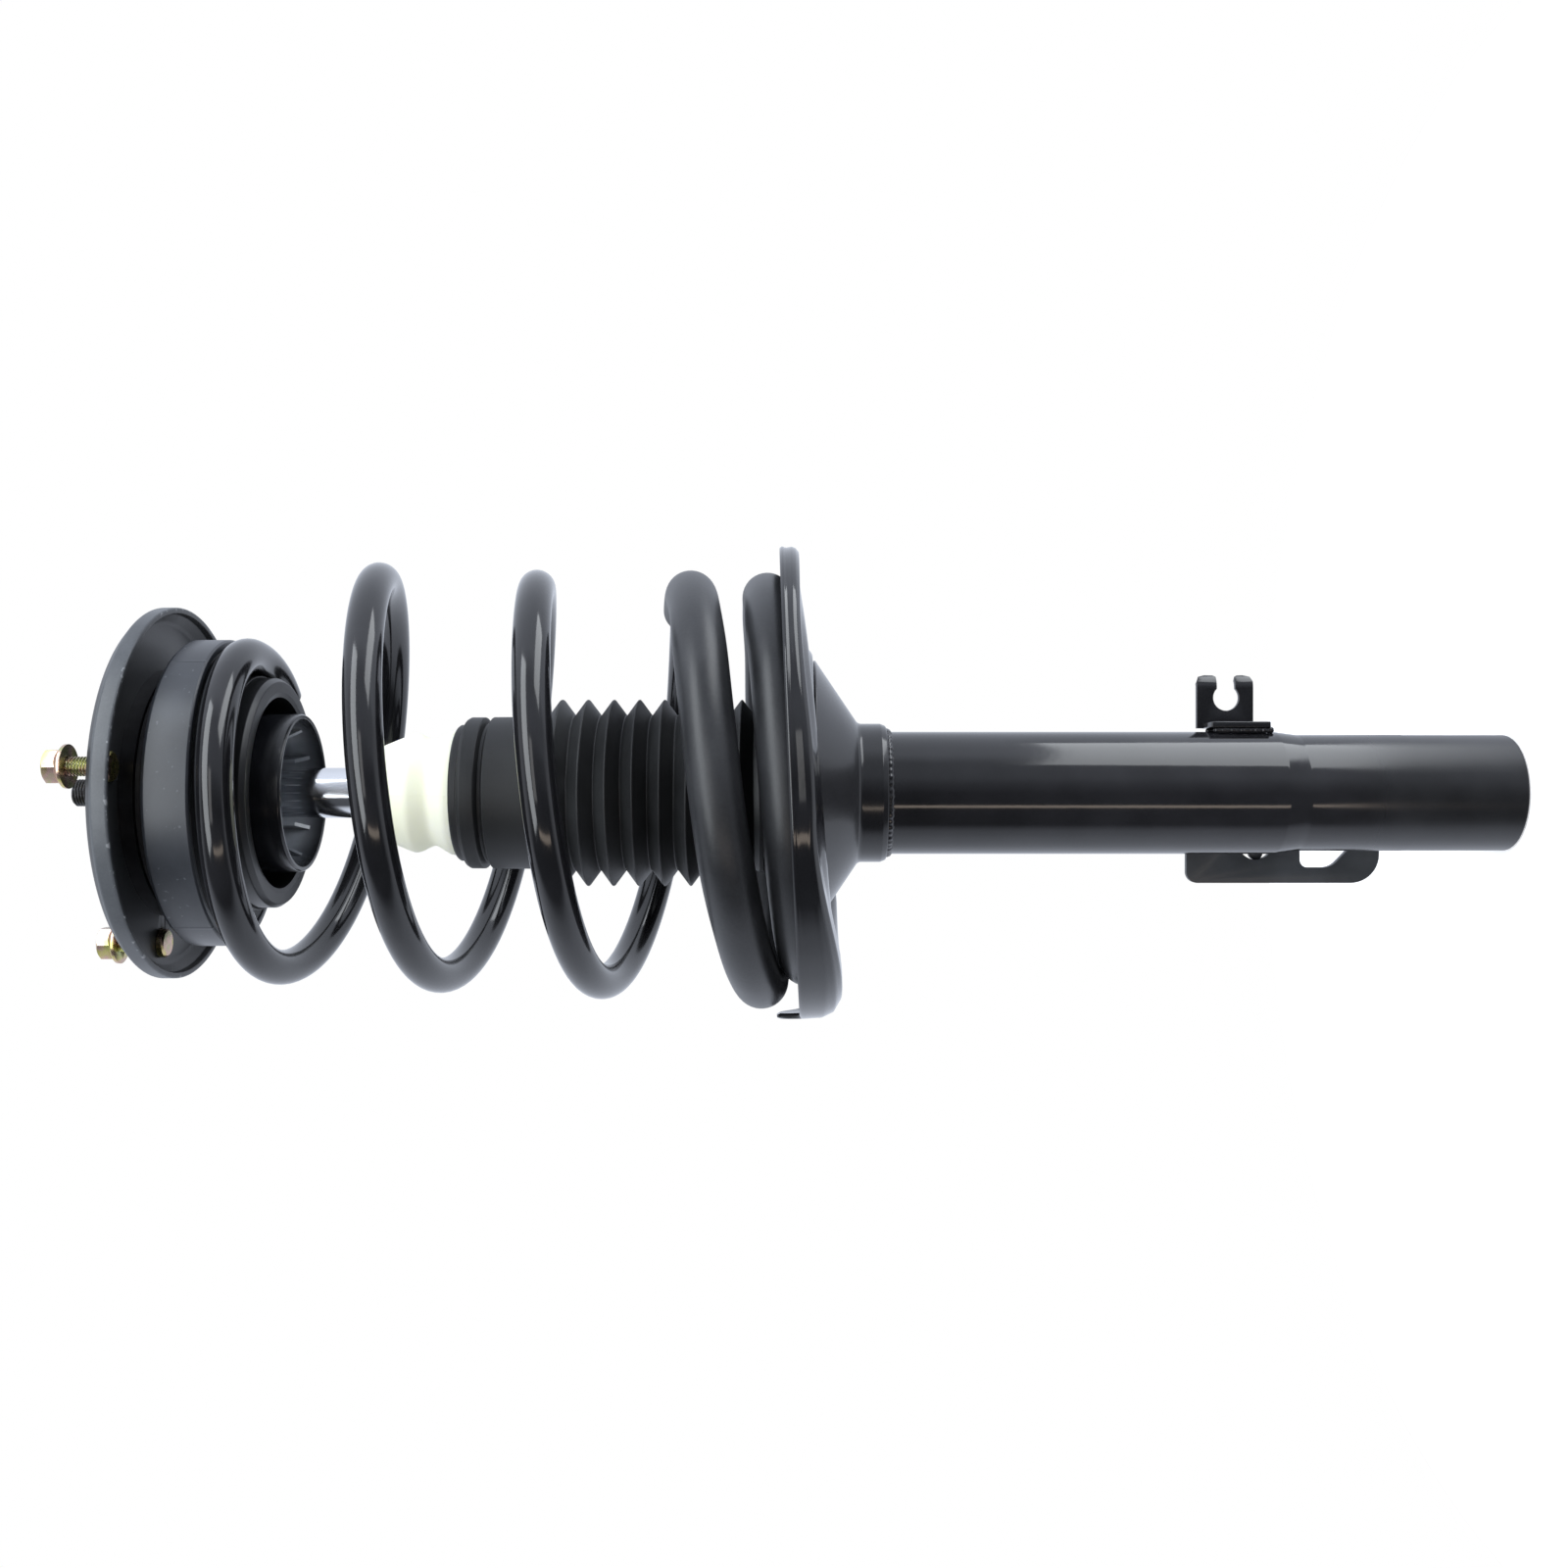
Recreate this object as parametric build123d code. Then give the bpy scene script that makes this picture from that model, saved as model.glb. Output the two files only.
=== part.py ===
from build123d import *
import math
import os

os.makedirs("parts", exist_ok=True)

# MacPherson strut, standing upright. Millimetres, +Z from the tube's foot to the top mount.
# The origin is the centre of the tube's lower end face. +X is the side of the hose clip.

# --- damper ---
TUBE_R = 25.4  # clamp land that the steering knuckle grips
LAND_LENGTH = 45.0
LAND_TAPER = 1.0  # height over which the land grows into the tube
LOWER_TUBE_R = 25.5
UPPER_TUBE_R = 26.85
TUBE_WALL = 2.6
STEP_LOW = 92.0  # the tube widens between these heights
STEP_HIGH = 101.0
TUBE_TOP = 384.0
BORE_R = 16.0  # pressure tube
PRESSURE_WALL = 1.5
GUIDE_LOW = 362.0
ROD_R = 11.0
RUNNING_FIT = 0.05
PISTON_TOP = 318.0
ROD_TIP = 628.0
ROD_THREAD_R = 6.0
ROD_SHOULDER = 590.0
ROD_END_R = 5.0  # lower end, which carries the piston and its nut
PISTON_HEIGHT = 17.0
ROD_LOW = 292.0
PISTON_NUT_FLATS = 16.0
PISTON_NUT_HEIGHT = 7.0

# --- lower seat ---
SEAT_OFFSET = 4.5  # the pan stands off centre towards +X
SEAT_TILT = 2.6  # degrees, +X side up
SEAT_R = 102.8
SEAT_RIM = 313.9
SEAT_WALL = 2.5
COLLAR_R = 30.4
COLLAR_LOW = 272.0
CONE_TOP_R = 58.0

# --- index bracket on the tube's rear, seen along +Y ---
INDEX_LOW = 46.6
INDEX_BACK = 24.6
INDEX_SHEET = 3.4
INDEX_HOLE = (-22.2, 102.5)
INDEX_HOLE_R = 8.2

# --- spring: turns from the top end, height, and radius of the wire's centre line ---
WIRE_R = 7.5
SLEEVE_R = 10.8
SPRING_LEAN = 1.0 / 26.0  # sideways travel of the coils towards +X for each mm of height
SPRING_LEAN_FROM = 300.0
WOUND = [
    (-0.12, 549.2, 59.9),
    (0.00, 549.3, 59.6),
    (0.25, 543.3, 65.9),
    (0.50, 535.9, 81.2),
    (0.75, 514.6, 84.5),
    (1.00, 492.9, 85.5),
    (1.25, 477.1, 86.5),
    (1.50, 463.7, 86.0),
    (1.75, 444.1, 86.8),
    (2.00, 424.6, 85.0),
    (2.25, 411.3, 86.5),
    (2.50, 393.6, 86.0),
    (2.75, 370.9, 86.5),
    (3.00, 358.0, 84.0),
    (3.25, 343.0, 86.0),
    (3.50, 325.5, 84.0),
    (4.00, 324.0, 84.5),
    (4.25, 315.5, 79.0),
    (4.50, 305.5, 73.0),
]
SLEEVE_TURNS = 1.55
SLEEVE_GAP = 0.05
POINTS_PER_TURN = 16

# --- bump stop and boot, which slide on the rod ---
BUMP_TOP = 500.0
BUMP_LOW = 440.0
BOOT_TOP = 458.5
BOOT_LOW = 325.0
BOOT_PITCH = 11.2
BOOT_FIRST_FOLD = 413.4
BOOT_FOLDS = 8
BOOT_PEAK_R = 41.3
BOOT_VALLEY_R = 33.7
BOOT_WALL = 1.2

# --- upper seat and bearing ---
RING_R = 67.0
RING_TOP = 573.0
RING_LOW = 558.0
RING_SKIRT = 556.2
HUB_R = 50.4
HUB_BORE_R = 42.0
HUB_LOW = 537.0
BALL_R = 2.5
BALL_CIRCLE_R = 49.0
BALL_COUNT = 28
BALL_HEIGHT = 579.3

# --- top mount ---
PLATE_R = 81.0
PLATE_FACE = 590.0
PLATE_WALL = 3.0
PLATE_LIP = 580.0
DOME_R = 38.0
DOME_TOP = 606.0
CUP_R = 34.6
CUP_LOW = 527.5
CUP_FLOOR = 548.0
STUD_R = 4.0
STUD_PLACES = [(10.9, -65.0), (-65.1, -9.2), (38.9, 53.1)]
NUT_LOWS = [601.5, 604.0, 602.5]
NUT_FLATS = 13.0
NUT_FLANGE_R = 8.9
NUT_HEIGHT = 8.5
NUT_TURN = 27.0
STUD_REACH = 19.0
ROD_NUT_LOW = 609.3
ROD_NUT_FLATS = 19.0
ROD_NUT_HEIGHT = 10.5


def turned(*points):
    """A solid of revolution about Z from a closed outline of (radius, height) points."""
    outline = Polyline(*[(r, 0, z) for r, z in points], close=True)
    return revolve(make_face(outline), Axis.Z)


def ring(inner, outer, low, high):
    return turned((inner, low), (outer, low), (outer, high), (inner, high))


def rounded_edges(solid, axis_height, radius, reach=0.6):
    """Round the circular edges that lie near one height."""
    edges = [
        e
        for e in solid.edges().filter_by(GeomType.CIRCLE)
        if abs(e.center().Z - axis_height) < reach
    ]
    return fillet(edges, radius)


def save(shape, name):
    export_step(shape, f"parts/{name}.step")


def group(solids):
    return Compound(children=list(solids))


# ---------------------------------------------------------------- outer tube and its ends
def outer_tube():
    lower_bore = TUBE_R - TUBE_WALL
    upper_bore = UPPER_TUBE_R - TUBE_WALL
    tube = turned(
        (lower_bore, 0),
        (TUBE_R, 0),
        (TUBE_R, LAND_LENGTH),
        (LOWER_TUBE_R, LAND_LENGTH + LAND_TAPER),
        (LOWER_TUBE_R, STEP_LOW),
        (UPPER_TUBE_R, STEP_HIGH),
        (UPPER_TUBE_R, TUBE_TOP - 4.5),
        (UPPER_TUBE_R - 1.3, TUBE_TOP - 1.3),
        (UPPER_TUBE_R - 4.5, TUBE_TOP),
        (19.0, TUBE_TOP),
        (19.0, TUBE_TOP - 1.8),
        (upper_bore, TUBE_TOP - 1.8),
        (upper_bore, STEP_HIGH),
        (lower_bore, STEP_LOW),
    )
    return rounded_edges(tube, 0, 0.4)


def base_cup():
    edge = TUBE_R - TUBE_WALL
    return turned(
        (0, 7.0),
        (edge - 7.0, 7.0),
        (edge - 3.0, 3.0),
        (edge, 3.0),
        (edge, 13.0),
        (edge - 3.0, 13.0),
        (edge - 3.0, 10.0),
        (0, 10.0),
    )


def foot_valve():
    return turned(
        (0, 10.0),
        (8.0, 10.0),
        (8.0, 11.5),
        (BORE_R + PRESSURE_WALL, 11.5),
        (BORE_R + PRESSURE_WALL, 15.0),
        (BORE_R, 15.0),
        (BORE_R, 22.0),
        (5.0, 22.0),
        (5.0, 27.0),
        (0, 27.0),
    )


def pressure_tube():
    return ring(BORE_R, BORE_R + PRESSURE_WALL, 15.0, GUIDE_LOW)


def rod_guide():
    seat = UPPER_TUBE_R - TUBE_WALL
    bore = ROD_R + 1.0
    return turned(
        (bore, GUIDE_LOW - 6.0),
        (BORE_R, GUIDE_LOW - 6.0),
        (BORE_R, GUIDE_LOW),
        (seat, GUIDE_LOW),
        (seat, GUIDE_LOW + 13.0),
        (bore, GUIDE_LOW + 13.0),
    )


def guide_bush():
    return ring(ROD_R + RUNNING_FIT, ROD_R + 1.0, GUIDE_LOW - 5.0, GUIDE_LOW + 12.5)


def rod_seal():
    low = GUIDE_LOW + 13.0
    high = TUBE_TOP - 1.8
    lip = ROD_R + RUNNING_FIT
    return turned(
        (lip, low + 1.2),
        (lip + 3.0, low),
        (UPPER_TUBE_R - TUBE_WALL, low),
        (UPPER_TUBE_R - TUBE_WALL, high),
        (lip + 3.0, high),
        (lip + 1.5, high - 2.2),
        (lip, high - 0.6),
    )


def strike_cap():
    skirt = UPPER_TUBE_R + 1.6
    cap = turned(
        (13.5, TUBE_TOP),
        (UPPER_TUBE_R, TUBE_TOP),
        (UPPER_TUBE_R, TUBE_TOP - 14.0),
        (skirt, TUBE_TOP - 14.0),
        (skirt, TUBE_TOP + 1.8),
        (13.5, TUBE_TOP + 1.8),
    )
    return rounded_edges(cap, TUBE_TOP + 1.8, 0.8)


# ---------------------------------------------------------------- lower seat and brackets
def seat_cone():
    """Collar round the tube that flares into a cone under the pan."""
    top = 301.0
    return turned(
        (UPPER_TUBE_R, COLLAR_LOW),
        (COLLAR_R - 1.2, COLLAR_LOW),
        (COLLAR_R, COLLAR_LOW + 1.5),
        (COLLAR_R, 284.5),
        (CONE_TOP_R, top),
        (CONE_TOP_R, top + 2.8),
        (COLLAR_R - 1.4, 287.5),
        (UPPER_TUBE_R, 287.5),
    )


def lower_spring_seat():
    """Pressed pan: an inner shelf on the cone, a deep trough for the last coil, a rolled rim."""
    shelf = -8.6
    floor = -19.4
    half = SEAT_WALL
    pan = turned(
        (44.0, shelf),
        (62.0, shelf),
        (65.0, floor),
        (88.0, floor + 1.0),
        (SEAT_R - 2.6, -9.5),
        (SEAT_R, -8.0),
        (SEAT_R, -0.8),
        (SEAT_R - 0.8, 0),
        (SEAT_R - 3.2, 0),
        (SEAT_R - 3.2, -6.6),
        (87.0, floor + half + 1.0),
        (66.5, floor + half),
        (63.5, shelf + half),
        (44.0, shelf + half),
    )
    leaned = Location((SEAT_OFFSET, 0, SEAT_RIM), (0, -SEAT_TILT, 0)) * pan
    clearance = turned(
        (0, 250.0), (CONE_TOP_R + 0.4, 250.0), (CONE_TOP_R + 0.4, 303.8), (0, 303.8)
    )
    return leaned - clearance


def hose_clip():
    """Bent sheet: a foot welded on the +X side of the tube and an upright horseshoe."""
    sheet = 2.6
    back = 8.6
    foot_low, foot_high = 104.8, 130.5
    upright_low, upright_high = 108.2, 133.2
    foot_x = UPPER_TUBE_R + 1.6
    top_x = 53.5
    notch_x, notch_z, notch_r, mouth = 42.2, 120.2, 5.75, 8.2
    foot = Pos(foot_x + sheet / 2, 0, (foot_low + foot_high) / 2) * Box(
        sheet, 2 * back, foot_high - foot_low
    )
    upright = Pos((foot_x + top_x) / 2, back - sheet / 2, (upright_low + upright_high) / 2) * Box(
        top_x - foot_x, sheet, upright_high - upright_low
    )
    upright = fillet(upright.edges().filter_by(Axis.Y).sort_by(Axis.X)[-2:], 4.0)
    notch = Pos(notch_x, 0, notch_z) * Rot(90, 0, 0) * Cylinder(notch_r, 60)
    opening = Pos(top_x, 0, notch_z) * Box(2 * (top_x - notch_x), 60, mouth)
    weld = Pos(UPPER_TUBE_R, 0, 116.5) * Box(5.0, 11.0, 22.0) - Cylinder(UPPER_TUBE_R + 0.01, 400)
    return foot + (upright - notch - opening) + weld


def index_bracket():
    """Flat plate welded to the tube's rear, with an egg-shaped window and a round hole."""
    low, high = INDEX_LOW, 133.9
    reach = 41.0
    inner = 8.0
    outline = Polyline((-inner, low), (-reach, low), (-reach, high), (-inner, high), close=True)
    sheet = make_face(outline)
    corners = sheet.vertices().group_by(Axis.X)[0].sort_by(Axis.Y)
    sheet = fillet(corners[0], 13.0)
    sheet = fillet(sheet.vertices().group_by(Axis.X)[0].sort_by(Axis.Y)[-1], 4.9)
    window = make_face(
        Polyline((-18.0, 82.6), (-34.0, 82.6), (-34.0, 68.5), (-18.0, 53.0), close=True)
    )
    window_corners = window.vertices().group_by(Axis.X)[0].sort_by(Axis.Y)
    window = fillet(window_corners[-1], 3.6)
    window = fillet(window.vertices().group_by(Axis.X)[0].sort_by(Axis.Y)[0], 9.0)
    hole = Pos(INDEX_HOLE[0], INDEX_HOLE[1]) * Circle(INDEX_HOLE_R)
    flat = sheet - window - hole
    plate = Pos(0, INDEX_BACK, 0) * Rot(90, 0, 0) * extrude(flat, INDEX_SHEET)
    narrow = Cylinder(LOWER_TUBE_R + 0.02, 2 * STEP_LOW)
    wide = Pos(0, 0, STEP_LOW + 100) * Cylinder(UPPER_TUBE_R + 0.02, 200)
    return plate - narrow - wide


def index_pin():
    """Small disc behind the bracket's hole, on a tab that is welded to the tube."""
    x, z = INDEX_HOLE
    thick, radius = 2.0, 3.2
    place = Pos(x - 5.3, INDEX_BACK + thick / 2, z - 0.9)
    peg = place * Rot(90, 0, 0) * Cylinder(radius, thick)
    web = Pos(x / 2 - 4.6, INDEX_BACK + thick / 2, z - 0.9) * Box(-x, thick, 5.0)
    return (peg + web) - Cylinder(UPPER_TUBE_R + 0.02, 400)


# ---------------------------------------------------------------- spring and its sleeve
def blend_between(rows, turn, column):
    """Smooth value between wound stations (Catmull-Rom on the turn count)."""
    turns = [row[0] for row in rows]
    values = [row[column] for row in rows]
    last = len(rows) - 1
    k = max(i for i in range(last) if turns[i] <= turn)

    def slope(i):
        a, b = max(i - 1, 0), min(i + 1, last)
        return (values[b] - values[a]) / (turns[b] - turns[a])

    h = turns[k + 1] - turns[k]
    t = (turn - turns[k]) / h
    return (
        values[k] * (2 * t**3 - 3 * t**2 + 1)
        + slope(k) * h * (t**3 - 2 * t**2 + t)
        + values[k + 1] * (3 * t**2 - 2 * t**3)
        + slope(k + 1) * h * (t**3 - t**2)
    )


def wire_point(turn):
    height = blend_between(WOUND, turn, 1)
    radius = blend_between(WOUND, turn, 2)
    angle = -2 * math.pi * turn
    lean = SPRING_LEAN * max(height - SPRING_LEAN_FROM, 0)
    end_fade = min(1.0, max(0.0, turn))
    x = radius * math.cos(angle) + lean * end_fade
    return (x, radius * math.sin(angle), height)


def wound(first, last, section):
    """Sweep a flat section along the spring's centre line, between two turn counts."""
    count = round((last - first) * POINTS_PER_TURN)
    points = [wire_point(first + (last - first) * i / count) for i in range(count + 1)]
    path = Spline(*points)
    return sweep(Plane(path @ 0, z_dir=path % 0) * section, path)


def coil_spring():
    return wound(WOUND[0][0], WOUND[-1][0], Circle(WIRE_R))


def spring_sleeve():
    end = WOUND[-1][0]
    return wound(end - SLEEVE_TURNS, end, Circle(SLEEVE_R) - Circle(WIRE_R + SLEEVE_GAP))


# ---------------------------------------------------------------- bump stop and boot
def bump_stop():
    bore = ROD_R + 0.3
    return turned(
        (bore, BUMP_LOW),
        (24.0, BUMP_LOW),
        (27.0, 447.0),
        (27.3, 461.5),
        (25.4, 466.0),
        (22.8, 469.2),
        (24.9, 473.0),
        (26.5, 477.4),
        (25.3, 483.0),
        (20.7, 492.0),
        (17.0, BUMP_TOP - 1.5),
        (15.5, BUMP_TOP),
        (bore, BUMP_TOP),
    )


def dust_boot():
    """Collar with two lips over a bellows."""
    collar = [
        (29.9, BOOT_TOP),
        (29.9, 455.8),
        (28.6, 455.0),
        (33.2, 453.7),
        (33.2, 447.0),
        (30.4, 445.6),
        (33.3, 443.6),
        (33.3, 421.5),
    ]
    outside = list(collar)
    for fold in range(BOOT_FOLDS):
        peak = BOOT_FIRST_FOLD - BOOT_PITCH * fold
        outside.append((BOOT_VALLEY_R, peak + BOOT_PITCH / 2 + 0.8))
        outside.append((BOOT_PEAK_R - 0.6, peak + 1.3))
        outside.append((BOOT_PEAK_R - 0.6, peak - 1.3))
    outside.append((BOOT_VALLEY_R, BOOT_LOW + 2.0))
    outside.append((BOOT_VALLEY_R, BOOT_LOW))
    inside = [(max(r - BOOT_WALL, 27.65), z) for r, z in reversed(outside)]
    inside[0] = (BOOT_VALLEY_R - 2 * BOOT_WALL, BOOT_LOW)
    inside[-1] = (27.65, BOOT_TOP)
    return turned(*outside, *inside)


# ---------------------------------------------------------------- upper seat and bearing
def upper_spring_seat():
    groove = RING_TOP - 3.2
    seat = turned(
        (HUB_BORE_R, HUB_LOW),
        (HUB_R, HUB_LOW),
        (HUB_R, RING_LOW + 6.0),
        (RING_R - 3.0, RING_LOW + 6.0),
        (RING_R - 3.0, RING_SKIRT),
        (RING_R, RING_SKIRT),
        (RING_R, RING_TOP - 2.0),
        (RING_R - 2.0, RING_TOP),
        (BALL_CIRCLE_R + 6.0, RING_TOP),
        (BALL_CIRCLE_R + 6.0, groove),
        (BALL_CIRCLE_R - 5.0, groove),
        (BALL_CIRCLE_R - 5.0, RING_TOP),
        (HUB_BORE_R, RING_TOP),
    )
    return seat


def spring_isolator():
    return turned(
        (HUB_R, 545.0),
        (HUB_R + 0.9, 545.0),
        (HUB_R + 0.9, RING_LOW - 0.4),
        (RING_R - 3.0, RING_LOW - 0.4),
        (RING_R - 3.0, RING_LOW + 6.0),
        (HUB_R, RING_LOW + 6.0),
    )


def lower_race():
    low = RING_TOP - 3.2
    floor = BALL_HEIGHT - BALL_R - 0.05
    race = ring(BALL_CIRCLE_R - 5.0, BALL_CIRCLE_R + 6.0, low, floor + 1.0)
    groove = revolve(
        Location((BALL_CIRCLE_R, 0, BALL_HEIGHT), (90, 0, 0)) * Circle(BALL_R + 0.05), Axis.Z
    )
    return race - groove


def upper_race():
    top = PLATE_FACE - PLATE_WALL
    ceiling = BALL_HEIGHT + BALL_R + 0.05
    race = ring(BALL_CIRCLE_R - 6.0, BALL_CIRCLE_R + 5.0, ceiling - 1.0, top)
    groove = revolve(
        Location((BALL_CIRCLE_R, 0, BALL_HEIGHT), (90, 0, 0)) * Circle(BALL_R + 0.05), Axis.Z
    )
    return race - groove


def ball_places():
    for i in range(BALL_COUNT):
        angle = 2 * math.pi * i / BALL_COUNT
        yield (BALL_CIRCLE_R * math.cos(angle), BALL_CIRCLE_R * math.sin(angle), BALL_HEIGHT)


def bearing_balls():
    return group(Pos(*place) * Sphere(BALL_R) for place in ball_places())


def ball_cage():
    cage = ring(BALL_CIRCLE_R - 4.2, BALL_CIRCLE_R + 4.2, BALL_HEIGHT - 0.9, BALL_HEIGHT + 0.9)
    pockets = [Pos(*place) * Sphere(BALL_R + 0.05) for place in ball_places()]
    return cage - pockets


# ---------------------------------------------------------------- top mount
def mount_plate():
    """Shallow pressed dish with a turned-down rim, a raised dome and three punched holes."""
    inner = PLATE_FACE - PLATE_WALL
    plate = turned(
        (DOME_R, inner),
        (74.0, inner),
        (78.2, PLATE_LIP + 3.5),
        (78.6, PLATE_LIP),
        (PLATE_R, PLATE_LIP),
        (PLATE_R, PLATE_LIP + 6.5),
        (77.0, PLATE_FACE),
        (DOME_R + 6.0, PLATE_FACE),
        (DOME_R + 1.0, PLATE_FACE + 5.0),
        (DOME_R + 1.0, DOME_TOP - 3.0),
        (DOME_R - 2.0, DOME_TOP),
        (21.0, DOME_TOP),
        (21.0, DOME_TOP - PLATE_WALL),
        (DOME_R - 2.0, DOME_TOP - PLATE_WALL),
        (DOME_R - 2.0, inner),
    )
    holes = [Pos(x, y, PLATE_FACE) * Cylinder(STUD_R + 0.35, 20) for x, y in STUD_PLACES]
    return plate - holes


def mount_rubber():
    return turned(
        (14.0, 566.0),
        (28.0, 566.0),
        (DOME_R - 2.0, 572.0),
        (DOME_R - 2.0, DOME_TOP - PLATE_WALL),
        (21.0, DOME_TOP - PLATE_WALL),
        (14.0, DOME_TOP - 5.0),
    )


def mount_sleeve():
    return turned(
        (ROD_THREAD_R + 0.3, ROD_SHOULDER),
        (13.0, ROD_SHOULDER),
        (13.0, 562.0),
        (14.0, 562.0),
        (14.0, 606.5),
        (ROD_THREAD_R + 0.3, 606.5),
    )


def bumper_cup():
    """Cup that takes the bump stop's nose, with ribs inside and a stem up to the mount."""
    shell = turned(
        (31.6, CUP_LOW),
        (CUP_R, CUP_LOW),
        (CUP_R, CUP_FLOOR + 3.0),
        (28.0, 562.0),
        (28.0, 566.0),
        (14.0, 566.0),
        (14.0, 562.0),
        (13.0, 562.0),
        (13.0, CUP_FLOOR),
        (31.6, CUP_FLOOR),
    )
    ribs = []
    for i in range(12):
        ribs.append(Rot(0, 0, 30 * i) * Pos(30.2, 0, CUP_FLOOR - 7.0) * Box(3.2, 1.8, 14.2))
    for rib in ribs:
        shell = shell + rib
    return shell


def studs():
    made = []
    for x, y in STUD_PLACES:
        inner = PLATE_FACE - PLATE_WALL
        stud = turned(
            (0, inner - 3.2),
            (5.0, inner - 3.2),
            (6.2, inner - 2.0),
            (6.2, inner),
            (STUD_R + 0.35, inner),
            (STUD_R + 0.35, PLATE_FACE),
            (STUD_R, PLATE_FACE),
            (STUD_R, PLATE_FACE + 10.0),
            (STUD_R - 0.15, PLATE_FACE + 10.3),
            (STUD_R - 0.15, PLATE_FACE + STUD_REACH - 1.0),
            (STUD_R - 1.0, PLATE_FACE + STUD_REACH),
            (0, PLATE_FACE + STUD_REACH),
        )
        made.append(Pos(x, y, 0) * stud)
    return group(made)


def flange_nuts():
    made = []
    for (x, y), low in zip(STUD_PLACES, NUT_LOWS):
        hexagon = extrude(RegularPolygon(NUT_FLATS / 2, 6, major_radius=False), NUT_HEIGHT)
        body = Pos(0, 0, low) * Rot(0, 0, NUT_TURN) * hexagon
        flange = turned(
            (0, low), (NUT_FLANGE_R, low), (NUT_FLANGE_R, low + 1.2), (6.6, low + 3.4), (0, low + 3.4)
        )
        shape = turned(
            (0, low),
            (NUT_FLANGE_R, low),
            (NUT_FLANGE_R, low + NUT_HEIGHT - 2.2),
            (6.3, low + NUT_HEIGHT),
            (0, low + NUT_HEIGHT),
        )
        bore = Pos(0, 0, low + NUT_HEIGHT / 2) * Cylinder(STUD_R + 0.05, 3 * NUT_HEIGHT)
        made.append(Pos(x, y, 0) * ((body + flange) & shape) - Pos(x, y, 0) * bore)
    return group(made)


def rebound_washer():
    washer = ring(ROD_THREAD_R + 0.3, 27.0, DOME_TOP + 0.5, ROD_NUT_LOW)
    return rounded_edges(washer, ROD_NUT_LOW, 0.8)


def rod_nut():
    hexagon = extrude(RegularPolygon(ROD_NUT_FLATS / 2, 6, major_radius=False), ROD_NUT_HEIGHT)
    nut = hexagon - Cylinder(ROD_THREAD_R + 0.05, 3 * ROD_NUT_HEIGHT)
    rim = nut.faces().sort_by(Axis.Z)[-1].outer_wire().edges()
    return Pos(0, 0, ROD_NUT_LOW) * chamfer(rim, 0.8)


def piston_rod():
    return turned(
        (0, ROD_LOW),
        (ROD_END_R, ROD_LOW),
        (ROD_END_R, PISTON_TOP),
        (ROD_R, PISTON_TOP),
        (ROD_R, ROD_SHOULDER - 1.0),
        (ROD_R - 1.0, ROD_SHOULDER),
        (ROD_THREAD_R, ROD_SHOULDER),
        (ROD_THREAD_R, ROD_TIP - 1.0),
        (ROD_THREAD_R - 1.0, ROD_TIP),
        (0, ROD_TIP),
    )


def piston():
    low = PISTON_TOP - PISTON_HEIGHT
    groove_low, groove_high = low + 3.5, low + 12.5
    return turned(
        (ROD_END_R, low),
        (BORE_R - 0.5, low),
        (BORE_R - 0.5, groove_low),
        (BORE_R - 1.6, groove_low),
        (BORE_R - 1.6, groove_high),
        (BORE_R - 0.5, groove_high),
        (BORE_R - 0.5, low + 16.0),
        (ROD_END_R, low + 16.0),
    )


def piston_ring():
    low = PISTON_TOP - PISTON_HEIGHT + 3.5
    return ring(BORE_R - 1.6, BORE_R - RUNNING_FIT, low, low + 9.0)


def valve_discs():
    low = PISTON_TOP - PISTON_HEIGHT
    above = ring(ROD_END_R, 12.5, PISTON_TOP - 1.0, PISTON_TOP)
    below = ring(ROD_END_R, 12.5, low - 1.2, low)
    return group([above, below])


def piston_nut():
    flats = RegularPolygon(PISTON_NUT_FLATS / 2, 6, major_radius=False)
    nut = extrude(flats, PISTON_NUT_HEIGHT) - Cylinder(ROD_END_R, 3 * PISTON_NUT_HEIGHT)
    return Pos(0, 0, PISTON_TOP - PISTON_HEIGHT - 1.2 - PISTON_NUT_HEIGHT) * nut


def rebound_stop():
    top = GUIDE_LOW - 7.0
    return turned(
        (ROD_R, top - 16.0),
        (14.6, top - 16.0),
        (14.6, top - 3.0),
        (13.4, top),
        (ROD_R, top),
    )


MAKERS = [
    outer_tube,
    base_cup,
    foot_valve,
    pressure_tube,
    rod_guide,
    guide_bush,
    rod_seal,
    strike_cap,
    seat_cone,
    lower_spring_seat,
    hose_clip,
    index_bracket,
    index_pin,
    coil_spring,
    spring_sleeve,
    bump_stop,
    dust_boot,
    upper_spring_seat,
    spring_isolator,
    lower_race,
    upper_race,
    bearing_balls,
    ball_cage,
    mount_plate,
    mount_rubber,
    mount_sleeve,
    bumper_cup,
    studs,
    flange_nuts,
    rebound_washer,
    rod_nut,
    piston_rod,
    piston,
    piston_ring,
    valve_discs,
    piston_nut,
    rebound_stop,
]
for make in MAKERS:
    save(make(), make.__name__)
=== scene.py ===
import math

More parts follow.
